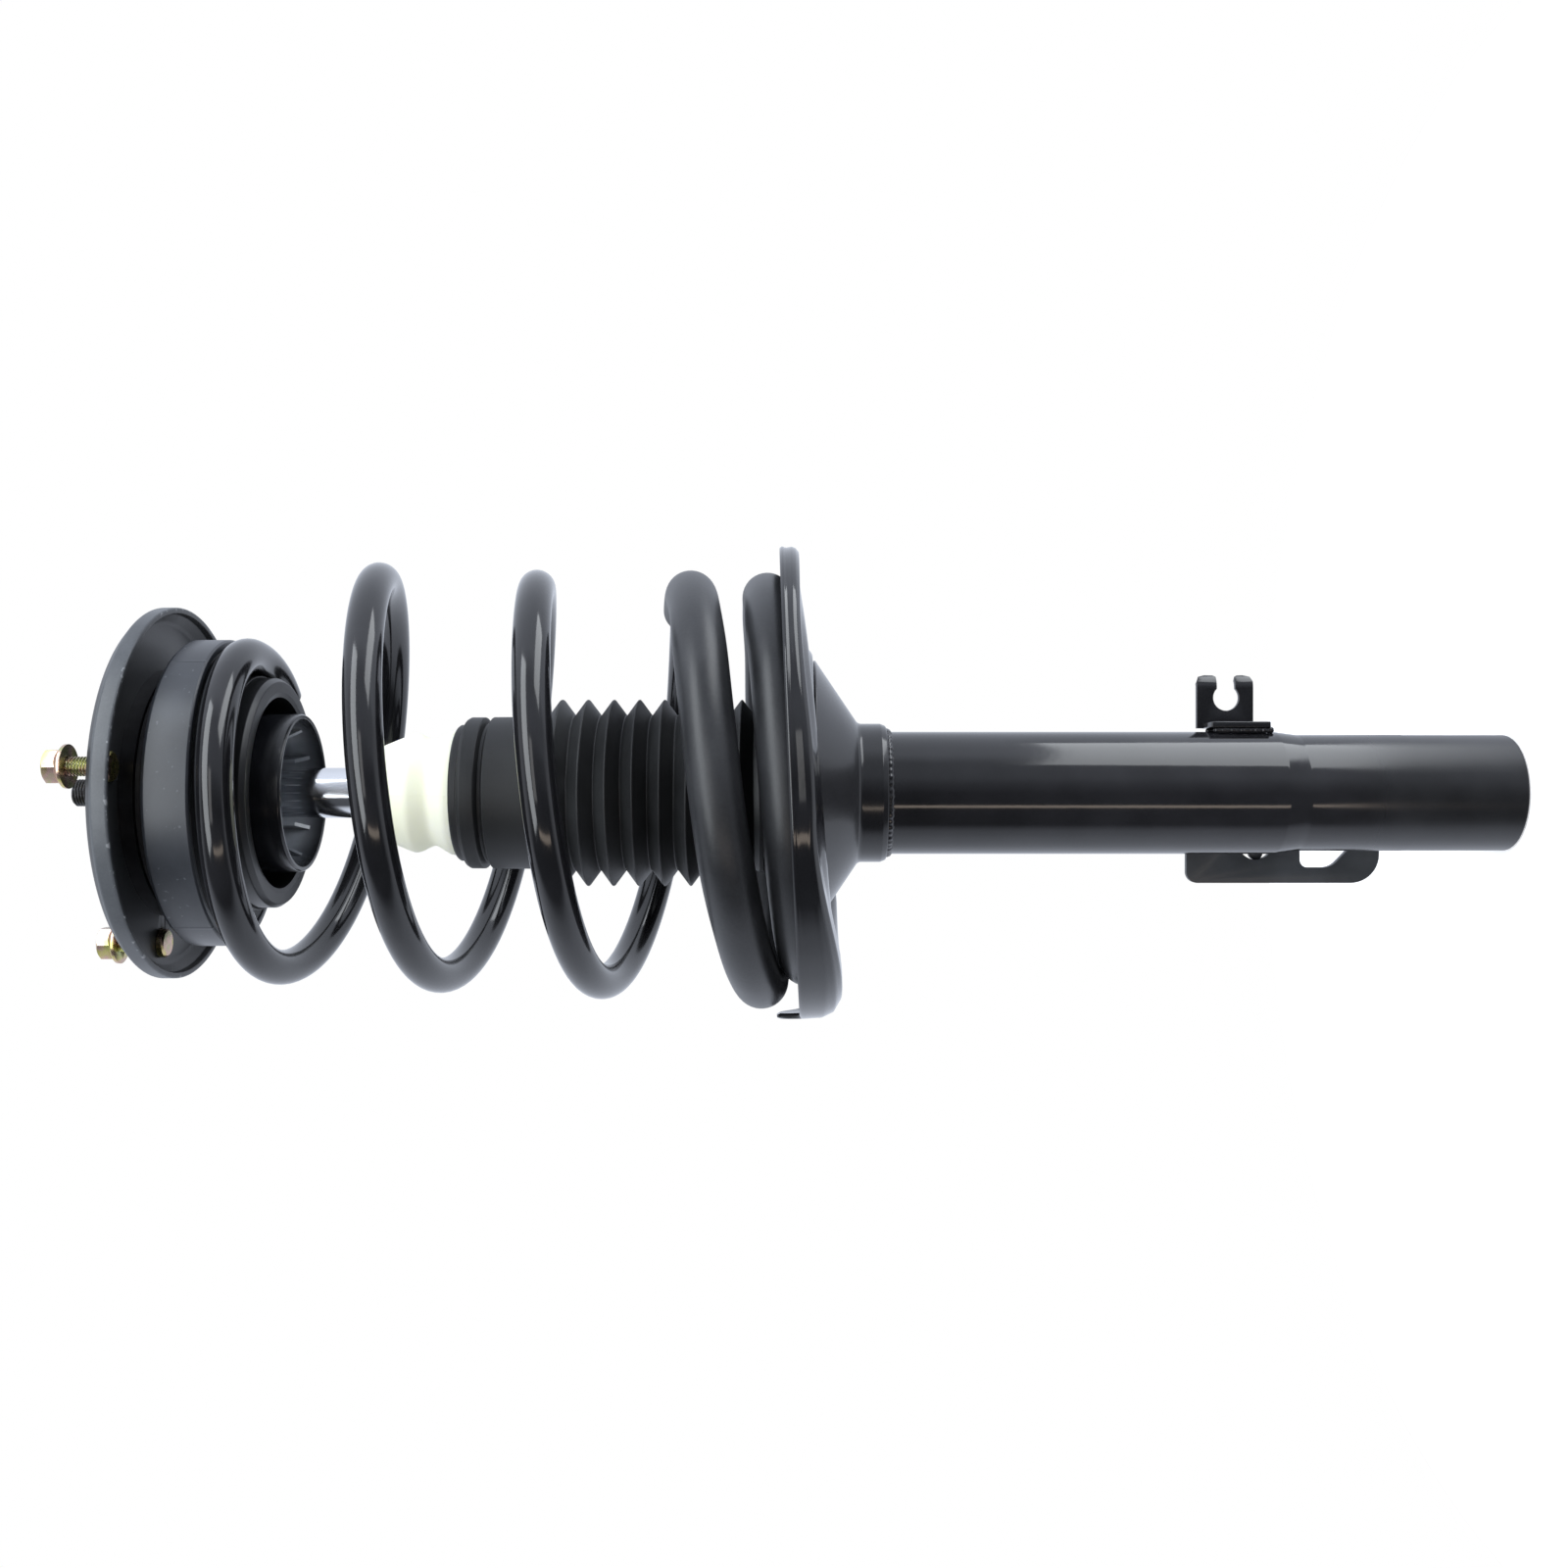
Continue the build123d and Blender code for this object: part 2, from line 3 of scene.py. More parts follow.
import bmesh
import bpy
from mathutils import Matrix, Vector
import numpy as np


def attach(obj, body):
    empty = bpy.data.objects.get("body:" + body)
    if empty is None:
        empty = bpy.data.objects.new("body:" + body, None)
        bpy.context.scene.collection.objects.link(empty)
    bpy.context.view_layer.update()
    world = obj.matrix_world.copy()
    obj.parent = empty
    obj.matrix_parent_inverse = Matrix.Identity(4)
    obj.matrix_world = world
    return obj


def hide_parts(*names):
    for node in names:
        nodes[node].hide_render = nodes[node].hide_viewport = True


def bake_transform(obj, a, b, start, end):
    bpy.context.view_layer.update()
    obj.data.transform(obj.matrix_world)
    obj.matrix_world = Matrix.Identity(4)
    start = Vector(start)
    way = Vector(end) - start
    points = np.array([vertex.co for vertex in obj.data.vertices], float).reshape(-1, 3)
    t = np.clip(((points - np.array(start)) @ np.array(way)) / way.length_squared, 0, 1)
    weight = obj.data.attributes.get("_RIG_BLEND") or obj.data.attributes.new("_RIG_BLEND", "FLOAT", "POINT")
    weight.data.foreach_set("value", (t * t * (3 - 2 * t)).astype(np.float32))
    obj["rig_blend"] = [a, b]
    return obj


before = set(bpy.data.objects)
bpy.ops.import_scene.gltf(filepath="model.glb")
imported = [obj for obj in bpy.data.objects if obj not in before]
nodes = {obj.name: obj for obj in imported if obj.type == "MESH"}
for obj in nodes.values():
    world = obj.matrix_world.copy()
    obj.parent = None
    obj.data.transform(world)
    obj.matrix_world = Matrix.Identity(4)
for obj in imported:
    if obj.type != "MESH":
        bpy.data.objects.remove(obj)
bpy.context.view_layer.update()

# ------------------------------------------------------------------ studio
# The strut stands upright on a pale floor, in a white room with large soft lamps.
# The camera lies on its side, level with the middle of the strut, so that the top mount
# comes out on the left and the tube's foot on the right.
MM = 0.001
VIEW_HEIGHT = 0.3165
VIEW_DISTANCE = 0.690
VIEW_OFFSET = 0.0039

camera_data = bpy.data.cameras.new("camera")
camera_data.lens = 36.0
camera_data.sensor_width = 36.0
camera_data.clip_start = 0.02


def placed(name, data):
    """An object with this data, linked into the scene."""
    thing = bpy.data.objects.new(name, data)
    bpy.context.scene.collection.objects.link(thing)
    return thing


camera = placed("camera", camera_data)
camera.matrix_world = Matrix(
    (
        (0.0, 1.0, 0.0, VIEW_OFFSET),
        (0.0, 0.0, -1.0, -VIEW_DISTANCE),
        (-1.0, 0.0, 0.0, VIEW_HEIGHT),
        (0.0, 0.0, 0.0, 1.0),
    )
)
bpy.context.scene.camera = camera
bpy.context.scene.view_settings.view_transform = "Standard"


class Flow:
    """A socket in a node tree. Arithmetic on it adds Math nodes."""

    def __init__(self, sheet, socket):
        self.sheet = sheet
        self.socket = socket

    def math(self, operation, other=None):
        values = {0: self} if other is None else {0: self, 1: other}
        return self.sheet.add("ShaderNodeMath", {"operation": operation}, values)

    def __add__(self, other):
        return self.math("ADD", other)

    def __mul__(self, other):
        return self.math("MULTIPLY", other)

    def __truediv__(self, other):
        return self.math("DIVIDE", other)

    def __rsub__(self, other):
        return self.math("MULTIPLY", -1.0).math("ADD", other)

    def __neg__(self):
        return self.math("MULTIPLY", -1.0)

    def __pow__(self, other):
        return self.math("POWER", other)

    __radd__ = __add__
    __rmul__ = __mul__

    def step(self, low, high):
        """0 below low, 1 above high, smooth between."""
        return self.sheet.add(
            "ShaderNodeMapRange",
            {"interpolation_type": "SMOOTHSTEP"},
            {"Value": self, "From Min": low, "From Max": high},
        )


class Sheet:
    """A node tree with one method that makes its nodes."""

    def __init__(self, tree):
        self.tree = tree

    def add(self, kind, settings=None, sockets=None, out=0):
        node = self.tree.nodes.new(kind)
        for name, value in (settings or {}).items():
            if name == "stops":
                ramp = node.color_ramp
                while len(ramp.elements) < len(value):
                    ramp.elements.new(1.0)
                for element, (place, colour) in zip(ramp.elements, value):
                    element.position = place
                    element.color = (*colour, 1.0)
            else:
                setattr(node, name, value)
        for name, value in (sockets or {}).items():
            if isinstance(value, Flow):
                self.tree.links.new(value.socket, node.inputs[name])
            else:
                node.inputs[name].default_value = value
        return Flow(self, node.outputs[out]) if node.outputs else node

    def split(self, vector):
        """The X, Y and Z parts of a vector."""
        parts = self.add("ShaderNodeSeparateXYZ", {}, {0: vector}).socket.node
        return [Flow(self, socket) for socket in parts.outputs]


# The room is bright all round but dim on the camera's side, where only the lamps show.
world = bpy.data.worlds.new("studio")
bpy.context.scene.world = world
world.use_nodes = True
world.node_tree.nodes.clear()
air = Sheet(world.node_tree)
toward = air.add("ShaderNodeTexCoord")
sideways, away, upward = air.split(toward)
bearing = sideways.math("ARCTAN2", -away) / math.tau + 0.5
BRIGHT = (1.02, 1.09, 1.24)


def tone(share):
    return tuple(share * channel for channel in BRIGHT)


room = air.add(
    "ShaderNodeValToRGB",
    {
        "stops": [
            (0.00, tone(0.75)), (0.14, tone(1.00)), (0.24, tone(1.00)), (0.29, tone(0.75)),
            (0.33, tone(0.10)), (0.50, tone(0.10)), (0.545, tone(0.30)), (0.58, tone(0.55)),
            (0.66, tone(0.62)), (0.71, tone(1.15)), (0.80, tone(1.05)), (1.00, tone(0.75)),
        ]
    },
    {0: bearing},
)
pole = upward.math("ABSOLUTE").step(0.80, 0.97)
room = air.add(
    "ShaderNodeMix", {"data_type": "RGBA"}, {0: pole, 6: room, 7: (0.85, 0.9, 1.0, 1.0)}, out=2
)
seen = air.add("ShaderNodeLightPath")
shown = air.add(
    "ShaderNodeMix",
    {"data_type": "RGBA"},
    {0: seen, 6: room, 7: (1.0, 1.0, 1.0, 1.0)},
    out=2,
)
glow = air.add("ShaderNodeBackground", {}, {"Color": shown, "Strength": 1.0})
air.add("ShaderNodeOutputWorld", {}, {"Surface": glow})

LAMP_DISTANCE = 1.2


def lamp(name, bearing, elevation, width, height, radiance, colour=(1.0, 1.0, 1.0)):
    """A rectangular soft lamp. Its place and size are angles seen from the strut's middle."""
    side, lift = math.radians(bearing), math.radians(elevation)
    light = bpy.data.lights.new(name, "AREA")
    light.shape = "RECTANGLE"
    light.size = 2 * LAMP_DISTANCE * math.tan(math.radians(width / 2))
    light.size_y = 2 * LAMP_DISTANCE * math.tan(math.radians(height / 2))
    light.energy = radiance * math.pi * light.size * light.size_y
    light.color = colour
    holder = placed(name, light)
    out = Vector(
        (math.sin(side) * math.cos(lift), -math.cos(side) * math.cos(lift), math.sin(lift))
    )
    holder.location = Vector((0.0, 0.0, VIEW_HEIGHT)) + out * LAMP_DISTANCE
    holder.rotation_euler = (-out).to_track_quat("-Z", "Y").to_euler()
    holder.visible_camera = False


lamp("lamp_main", 22, 43, 78, 27, 5.2, (0.91, 0.96, 1.0))
lamp("lamp_fill", 7, 17, 30, 14, 1.8)
lamp("lamp_low", 80, -27, 52, 24, 4.0, (0.93, 0.97, 1.0))
lamp("lamp_warm_strip", -25, -8, 4.5, 55, 3.2, (1.0, 0.84, 0.70))


class Finish(Sheet):
    """A material with a Principled surface, and object coordinates in metres."""

    def __init__(self, name, **sockets):
        self.material = bpy.data.materials.new(name)
        self.material.use_nodes = True
        super().__init__(self.material.node_tree)
        self.tree.nodes.clear()
        self.place = self.add("ShaderNodeTexCoord", out=3)
        self.surface = self.tree.nodes.new("ShaderNodeBsdfPrincipled")
        ending = self.tree.nodes.new("ShaderNodeOutputMaterial")
        self.tree.links.new(self.surface.outputs[0], ending.inputs[0])
        for socket, value in sockets.items():
            self.surface.inputs[socket.replace("_", " ")].default_value = value

    def paint(self, **sockets):
        for socket, value in sockets.items():
            self.tree.links.new(value.socket, self.surface.inputs[socket.replace("_", " ")])

    def noise(self, scale, detail=3.0):
        return self.add(
            "ShaderNodeTexNoise", {}, {"Vector": self.place, "Scale": scale, "Detail": detail}
        )

    def colours(self, value, stops):
        return self.add("ShaderNodeValToRGB", {"stops": stops}, {0: value})

    def mix(self, share, first, second):
        return self.add(
            "ShaderNodeMix", {"data_type": "RGBA"}, {0: share, 6: first, 7: second}, out=2
        )

    def bump(self, height, distance, strength=1.0):
        return self.add(
            "ShaderNodeBump", {}, {"Height": height, "Distance": distance, "Strength": strength}
        )

    def radius(self):
        x, y, z = self.split(self.place)
        return (x * x + y * y) ** 0.5

    def height(self):
        return self.split(self.place)[2]


paper = Finish("floor_paper", Roughness=0.9)
paper.paint(Base_Color=paper.colours(paper.noise(9.0), [(0.3, (0.86,) * 3), (0.7, (0.88,) * 3)]))
paper.surface.inputs["Emission Color"].default_value = (1.0, 1.0, 1.0, 1.0)
paper.surface.inputs["Emission Strength"].default_value = 0.45
FLOOR_R = 0.34
floor_mesh = bpy.data.meshes.new("floor")
floor_ring = [
    (FLOOR_R * math.cos(math.tau * i / 96), FLOOR_R * math.sin(math.tau * i / 96), -0.0005)
    for i in range(96)
]
floor_mesh.from_pydata(floor_ring, [], [list(range(96))])
floor_mesh.materials.append(paper.material)
floor = placed("floor", floor_mesh)
floor.visible_glossy = False

# ------------------------------------------------------------------ damper tube
# Drawn steel tube, widened above its clamped end, with a rounded foot and its top rolled in
# over the rod guide. Its black paint is satin at the foot and glossy above, with a faint peel.


def gloss_black(name, tint=(0.006, 0.006, 0.007), rough=0.09, peel=0.00001):
    paint = Finish(name, Roughness=rough, IOR=1.52)
    cloud = paint.noise(38.0, 4.0)
    speck = paint.noise(900.0, 2.0)
    light = tuple(1.8 * c + 0.002 for c in tint)
    paint.paint(
        Base_Color=paint.colours(cloud, [(0.35, tint), (0.75, light)]),
        Roughness=cloud * 0.08 + speck * 0.03 + (rough - 0.05),
        Normal=paint.bump(paint.noise(260.0, 1.0), peel),
    )
    return paint.material


FILLET_STEPS = 6


def rounded(*corners):
    """Closed outline of (radius, height, fillet) corners in mm, with an arc at each fillet."""
    points = []
    count = len(corners)
    for i, corner in enumerate(corners):
        here = Vector(corner[:2])
        fillet = corner[2] if len(corner) > 2 else 0.0
        back = Vector(corners[i - 1][:2]) - here
        ahead = Vector(corners[(i + 1) % count][:2]) - here
        if fillet <= 0.0 or back.length < 1e-6 or ahead.length < 1e-6:
            points.append(here)
            continue
        half = back.angle(ahead) / 2
        reach = min(fillet / math.tan(half), 0.49 * back.length, 0.49 * ahead.length)
        start = here + back.normalized() * reach
        end = here + ahead.normalized() * reach
        for k in range(FILLET_STEPS + 1):
            t = k / FILLET_STEPS
            points.append((1 - t) ** 2 * start + 2 * t * (1 - t) * here + t * t * end)
    return [(p.x, p.y) for p in points]


def shaded(mesh, sharp):
    """Shade a mesh smooth up to a crease angle in degrees."""
    mesh.polygons.foreach_set("use_smooth", [True] * len(mesh.polygons))
    mesh.set_sharp_from_angle(angle=math.radians(sharp))


def finished(name, vertices, faces, material, sharp=35.0):
    """A mesh object at the origin with welded doubles, outward normals and smooth shading."""
    mesh = bpy.data.meshes.new(name)
    mesh.from_pydata(vertices, [], faces)
    shape = bmesh.new()
    shape.from_mesh(mesh)
    bmesh.ops.remove_doubles(shape, verts=shape.verts, dist=1e-7)
    bmesh.ops.dissolve_degenerate(shape, edges=shape.edges, dist=1e-7)
    bmesh.ops.recalc_face_normals(shape, faces=shape.faces)
    shape.to_mesh(mesh)
    shape.free()
    shaded(mesh, sharp)
    mesh.materials.append(material)
    return placed(name, mesh)


def lathe(name, outline, material, segments=160, sharp=35.0):
    """Spin a closed outline in mm about Z. The outline may be a function of the angle."""
    vertices, faces = [], []
    for i in range(segments):
        angle = math.tau * i / segments
        rows = outline(angle) if callable(outline) else outline
        count = len(rows)
        for r, z in rows:
            vertices.append((r * math.cos(angle) * MM, r * math.sin(angle) * MM, z * MM))
    for i in range(segments):
        here, there = i * count, (i + 1) % segments * count
        for j in range(count):
            k = (j + 1) % count
            faces.append((here + j, there + j, there + k, here + k))
    return finished(name, vertices, faces, material, sharp)


tube_paint = gloss_black("tube_paint")
foot_coat = Finish("foot_coat", Roughness=0.2, IOR=1.52)
foot_cloud = foot_coat.noise(38.0, 4.0)
foot_dull = 1 - foot_coat.height().step(0.045, 0.100)
foot_coat.paint(
    Base_Color=foot_coat.colours(
        foot_cloud, [(0.35, (0.007, 0.007, 0.008)), (0.75, (0.015, 0.015, 0.017))]
    ),
    Roughness=foot_cloud * 0.08 + foot_dull * 0.22 + 0.06,
    Normal=foot_coat.bump(foot_coat.noise(260.0, 1.0), 0.00001),
)
tube = lathe(
    "damper_tube",
    rounded(
        (22.8, 0, 0.6), (25.4, 0, 1.1), (25.4, 45.0), (25.5, 46.0), (25.5, 84.0),
        (25.5, 92.0, 8.0), (26.85, 102.0, 8.0), (26.85, 110.0), (26.85, 376.0),
        (26.85, 384.0, 4.0), (19.0, 384.0, 0.6), (19.0, 382.2, 0.6), (24.25, 382.2),
        (24.25, 102.0), (22.8, 91.0),
    ),
    foot_coat.material,
    segments=256,
)
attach(tube, "strut_tube")
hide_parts("outer_tube")

# ------------------------------------------------------------------ support cone
# Thick pressed steel collar round the tube that flares into a cone under the spring pan.
# It is welded to the tube below and to the pan above, and painted with them.
cone = lathe(
    "seat_support_cone",
    rounded(
        (26.9, 272.0), (29.4, 272.0, 1.0), (30.4, 274.5, 1.0), (30.4, 284.2, 3.0),
        (58.0, 302.9, 0.5), (58.0, 303.8, 0.3), (29.0, 287.6, 1.0), (26.9, 287.6),
    ),
    gloss_black("cone_paint", rough=0.16),
    segments=256,
)
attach(cone, "strut_tube")
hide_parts("seat_cone")


def weld_outline(height, radius, size, seed):
    """A small irregular bead against a cylinder, as a function of the angle."""

    def outline(angle):
        ripple = 0.12 * math.sin(61 * angle + seed) + 0.1 * math.sin(23 * angle + 2 * seed)
        out = size * (1.0 + ripple)
        return [
            (radius, height - out),
            (radius + 0.55 * out, height - 0.6 * out),
            (radius + 0.8 * out, height),
            (radius + 0.6 * out, height + 0.7 * out),
            (radius, height + out),
        ]

    return outline


bead = lathe("collar_weld", weld_outline(271.4, 26.85, 1.7, 0.4), tube_paint, 320, 60.0)
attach(bead, "strut_tube")

# ------------------------------------------------------------------ coil spring
# Right-handed spring of thick round wire, wound hot and painted gloss black. Its end coils
# are smaller, and the coils lean a little to one side. Each row below is a winding station:
# turns from the top end, height, and radius of the wire's centre line, in mm.
WIRE_R = 7.6
SPRING_LEAN = 1.0 / 26.0
SPRING_LEAN_FROM = 300.0
WOUND = [
    (-0.12, 549.2, 59.9), (0.00, 549.3, 59.6), (0.25, 543.3, 65.9), (0.50, 535.9, 81.2),
    (0.75, 514.6, 84.5), (1.00, 492.9, 85.5), (1.25, 477.1, 86.5), (1.50, 463.7, 86.0),
    (1.75, 444.1, 86.8), (2.00, 424.6, 85.0), (2.25, 411.3, 86.5), (2.50, 393.6, 86.0),
    (2.75, 370.9, 86.5), (3.00, 358.0, 84.0), (3.25, 343.0, 86.0), (3.50, 325.5, 84.0),
    (4.00, 324.0, 84.5), (4.25, 315.5, 79.0), (4.50, 305.5, 73.0),
]
WIRE_START, WIRE_END = WOUND[0][0], WOUND[-1][0]


def wound(turn, column):
    """Height or radius of the wire's centre line between the winding stations."""
    last = len(WOUND) - 1
    k = max(i for i in range(last) if WOUND[i][0] <= turn + 1e-9)

    def slope(i):
        a, b = WOUND[max(i - 1, 0)], WOUND[min(i + 1, last)]
        return (b[column] - a[column]) / (b[0] - a[0])

    span = WOUND[k + 1][0] - WOUND[k][0]
    t = (turn - WOUND[k][0]) / span
    return (
        WOUND[k][column] * (2 * t**3 - 3 * t**2 + 1)
        + slope(k) * span * (t**3 - 2 * t**2 + t)
        + WOUND[k + 1][column] * (3 * t**2 - 2 * t**3)
        + slope(k + 1) * span * (t**3 - t**2)
    )


def wire_place(turn):
    height, radius = wound(turn, 1), wound(turn, 2)
    lean = SPRING_LEAN * max(height - SPRING_LEAN_FROM, 0) * min(1.0, max(0.0, turn))
    angle = -math.tau * turn
    return Vector((radius * math.cos(angle) + lean, radius * math.sin(angle), height)) * MM


BAR_END = [(0.0, 0.80), (0.0006, 0.93), (0.0016, 1.0)]


def wound_path(name, first, last, radius_at, per_turn, cap):
    """Points along the wire's centre line, each with its turn and the bar's radius there."""
    count = round((last - first) * per_turn)
    turns = [first + (last - first) * i / count for i in range(count + 1)]
    ends = [(ahead, 1 - cap * (1 - share)) for ahead, share in BAR_END]
    rows = [(first + ahead, radius_at(first) * share) for ahead, share in ends]
    rows += [(turn, radius_at(turn)) for turn in turns[1:-1]]
    rows += [(last - ahead, radius_at(last) * share) for ahead, share in ends[::-1]]
    path = bpy.data.meshes.new(name)
    path.from_pydata(
        [wire_place(turn) for turn, radius in rows], [(i, i + 1) for i in range(len(rows) - 1)], []
    )
    for label, column in (("turn", 0), ("thick", 1)):
        layer = path.attributes.new(label, "FLOAT", "POINT")
        layer.data.foreach_set("value", [row[column] for row in rows])
    return placed(name, path)


def node_group(name, *inputs):
    """An empty Geometry Nodes group with a geometry input and output and named inputs."""
    group = bpy.data.node_groups.new(name, "GeometryNodeTree")
    group.interface.new_socket("Geometry", in_out="INPUT", socket_type="NodeSocketGeometry")
    for label, kind in inputs:
        group.interface.new_socket(label, in_out="INPUT", socket_type="NodeSocket" + kind)
    group.interface.new_socket("Geometry", in_out="OUTPUT", socket_type="NodeSocketGeometry")
    sheet = Sheet(group)
    first = sheet.add("NodeGroupInput").socket.node
    given = {socket.name: Flow(sheet, socket) for socket in first.outputs if socket.name}
    return group, sheet, given


def hand_out(steps, given, geometry):
    """End a group: make its instances real, give them the group's paint and put them out."""
    skin = steps.add("GeometryNodeRealizeInstances", {}, {"Geometry": geometry})
    skin = steps.add("GeometryNodeSetMaterial", {}, {"Geometry": skin, "Material": given["Paint"]})
    steps.add("NodeGroupOutput", {}, {"Geometry": skin})


def grown(holder, group, **values):
    """Run a Geometry Nodes group on an object and turn the result into a plain mesh piece."""
    modifier = holder.modifiers.new("grow", "NODES")
    modifier.node_group = group
    for item in group.interface.items_tree:
        if item.in_out == "INPUT" and item.name.replace(" ", "_") in values:
            modifier[item.identifier] = values[item.name.replace(" ", "_")]
    shape = bpy.context.evaluated_depsgraph_get()
    mesh = bpy.data.meshes.new_from_object(holder.evaluated_get(shape))
    holder.modifiers.remove(modifier)
    piece = placed(holder.name + "_piece", mesh)
    bpy.data.objects.remove(holder)
    return piece


bar, steps, given = node_group("wound_bar", ("Sides", "Int"), ("Paint", "Material"))
line = steps.add("GeometryNodeMeshToCurve", {}, {"Mesh": given["Geometry"]})
thick = steps.add("GeometryNodeInputNamedAttribute", {"data_type": "FLOAT"}, {"Name": "thick"})
circle = steps.add(
    "GeometryNodeCurvePrimitiveCircle", {}, {"Resolution": given["Sides"], "Radius": MM}
)
skin = steps.add(
    "GeometryNodeCurveToMesh",
    {},
    {"Curve": line, "Profile Curve": circle, "Scale": thick, "Fill Caps": True},
)
hand_out(steps, given, skin)


def smooth(piece, sharp=40.0):
    """Turn a piece's faces outwards and shade it smooth up to a crease angle."""
    shape = bmesh.new()
    shape.from_mesh(piece.data)
    bmesh.ops.recalc_face_normals(shape, faces=shape.faces)
    shape.to_mesh(piece.data)
    shape.free()
    shaded(piece.data, sharp)
    return piece


def stretch(piece, below, above, low, high, share):
    """Blend across the stroke, with each point's share of it worked out by a function."""
    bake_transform(piece, below, above, start=(0, 0, low * MM), end=(0, 0, high * MM))
    layer = piece.data.attributes["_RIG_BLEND"]
    layer.data.foreach_set("value", [share(v) for v in piece.data.vertices])


CLOSED_TOP = 0.45
CLOSED_LOW = 3.55


def coil_share(turn):
    """0 on the seated lower coil, 1 on the seated top coil, even over the active coils."""
    return min(max((CLOSED_LOW - turn) / (CLOSED_LOW - CLOSED_TOP), 0.0), 1.0)


def stretch_coils(piece):
    """Blend a wound bar from the tube to the upper seat by the turn that each point lies on."""
    turns = [0.0] * len(piece.data.vertices)
    piece.data.attributes["turn"].data.foreach_get("value", turns)
    piece.data.attributes.remove(piece.data.attributes["turn"])
    stretch(piece, "strut_tube", "upper_seat", 312, 536, lambda v: coil_share(turns[v.index]))


spring = smooth(
    grown(
        wound_path("spring_coil", WIRE_START, WIRE_END, lambda turn: WIRE_R, 96, 0.9),
        bar,
        Sides=40,
        Paint=gloss_black("spring_paint", rough=0.11),
    )
)
stretch_coils(spring)
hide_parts("coil_spring")

# ------------------------------------------------------------------ spring sleeve
# Length of soft rubber hose slipped over the lowest coils, so that they do not click on the
# pan or on each other. It wrinkles on the tight inner side of the bend.
SLEEVE_R = 10.8
SLEEVE_FROM = 2.95
hose = Finish("sleeve_rubber", Roughness=0.48, IOR=1.45)
hose_cloud = hose.noise(30.0, 5.0)
hose_grain = hose.noise(700.0, 3.0)
hose.paint(
    Base_Color=hose.colours(
        hose_cloud + hose_grain * 0.25,
        [(0.35, (0.012, 0.0125, 0.014)), (0.85, (0.03, 0.031, 0.034))],
    ),
    Roughness=hose_cloud * 0.22 + 0.27,
    Normal=hose.bump(hose_grain, 0.00006, 0.6),
)


def sleeve_radius(turn):
    along = turn - SLEEVE_FROM
    waves = 0.16 * math.sin(39.0 * along) + 0.12 * math.sin(71.0 * along + 1.0)
    return SLEEVE_R + waves * math.exp(-0.9 * abs(turn - 3.95))


sleeve = smooth(
    grown(
        wound_path("spring_sleeve", SLEEVE_FROM, WIRE_END, sleeve_radius, 120, 0.6),
        bar,
        Sides=40,
        Paint=hose.material,
    )
)
stretch_coils(sleeve)
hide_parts("spring_sleeve")

# ------------------------------------------------------------------ lower spring pan
# Deep-drawn pan that carries the spring's lower end coil in a spiral trough. The trough sinks
# and closes in towards the wire's end, where a short stop tongue stands up from the rim.
PAN_R = 102.8
PAN_OFFSET = 4.5
PAN_SHEET = 2.5
PAN_SHELF = 306.6
PAN_BORE = 46.0
PAN_STEPS = 55
TONGUE_ANGLE = math.radians(183)
TONGUE_HALF = math.radians(6.0)


def ease(value, low, high):
    share = min(max((value - low) / (high - low), 0.0), 1.0)
    return share * share * (3 - 2 * share)


def trough(angle):
    """Radius and height of the wire's centre line in the pan, also where there is no wire."""
    turn = (-angle / math.tau) % 1.0
    if turn <= 0.5:
        place = wire_place(4.0 + turn) / MM
        return math.hypot(place.x, place.y), place.z
    first, last = wire_place(4.5) / MM, wire_place(4.0) / MM
    share = ease(turn, 0.62, 0.80)
    radius = math.hypot(first.x, first.y)
    return (
        radius + share * (math.hypot(last.x, last.y) - radius),
        first.z + share * (last.z - 2.0 - first.z) + 2.0 * ease(turn, 0.8, 1.0),
    )


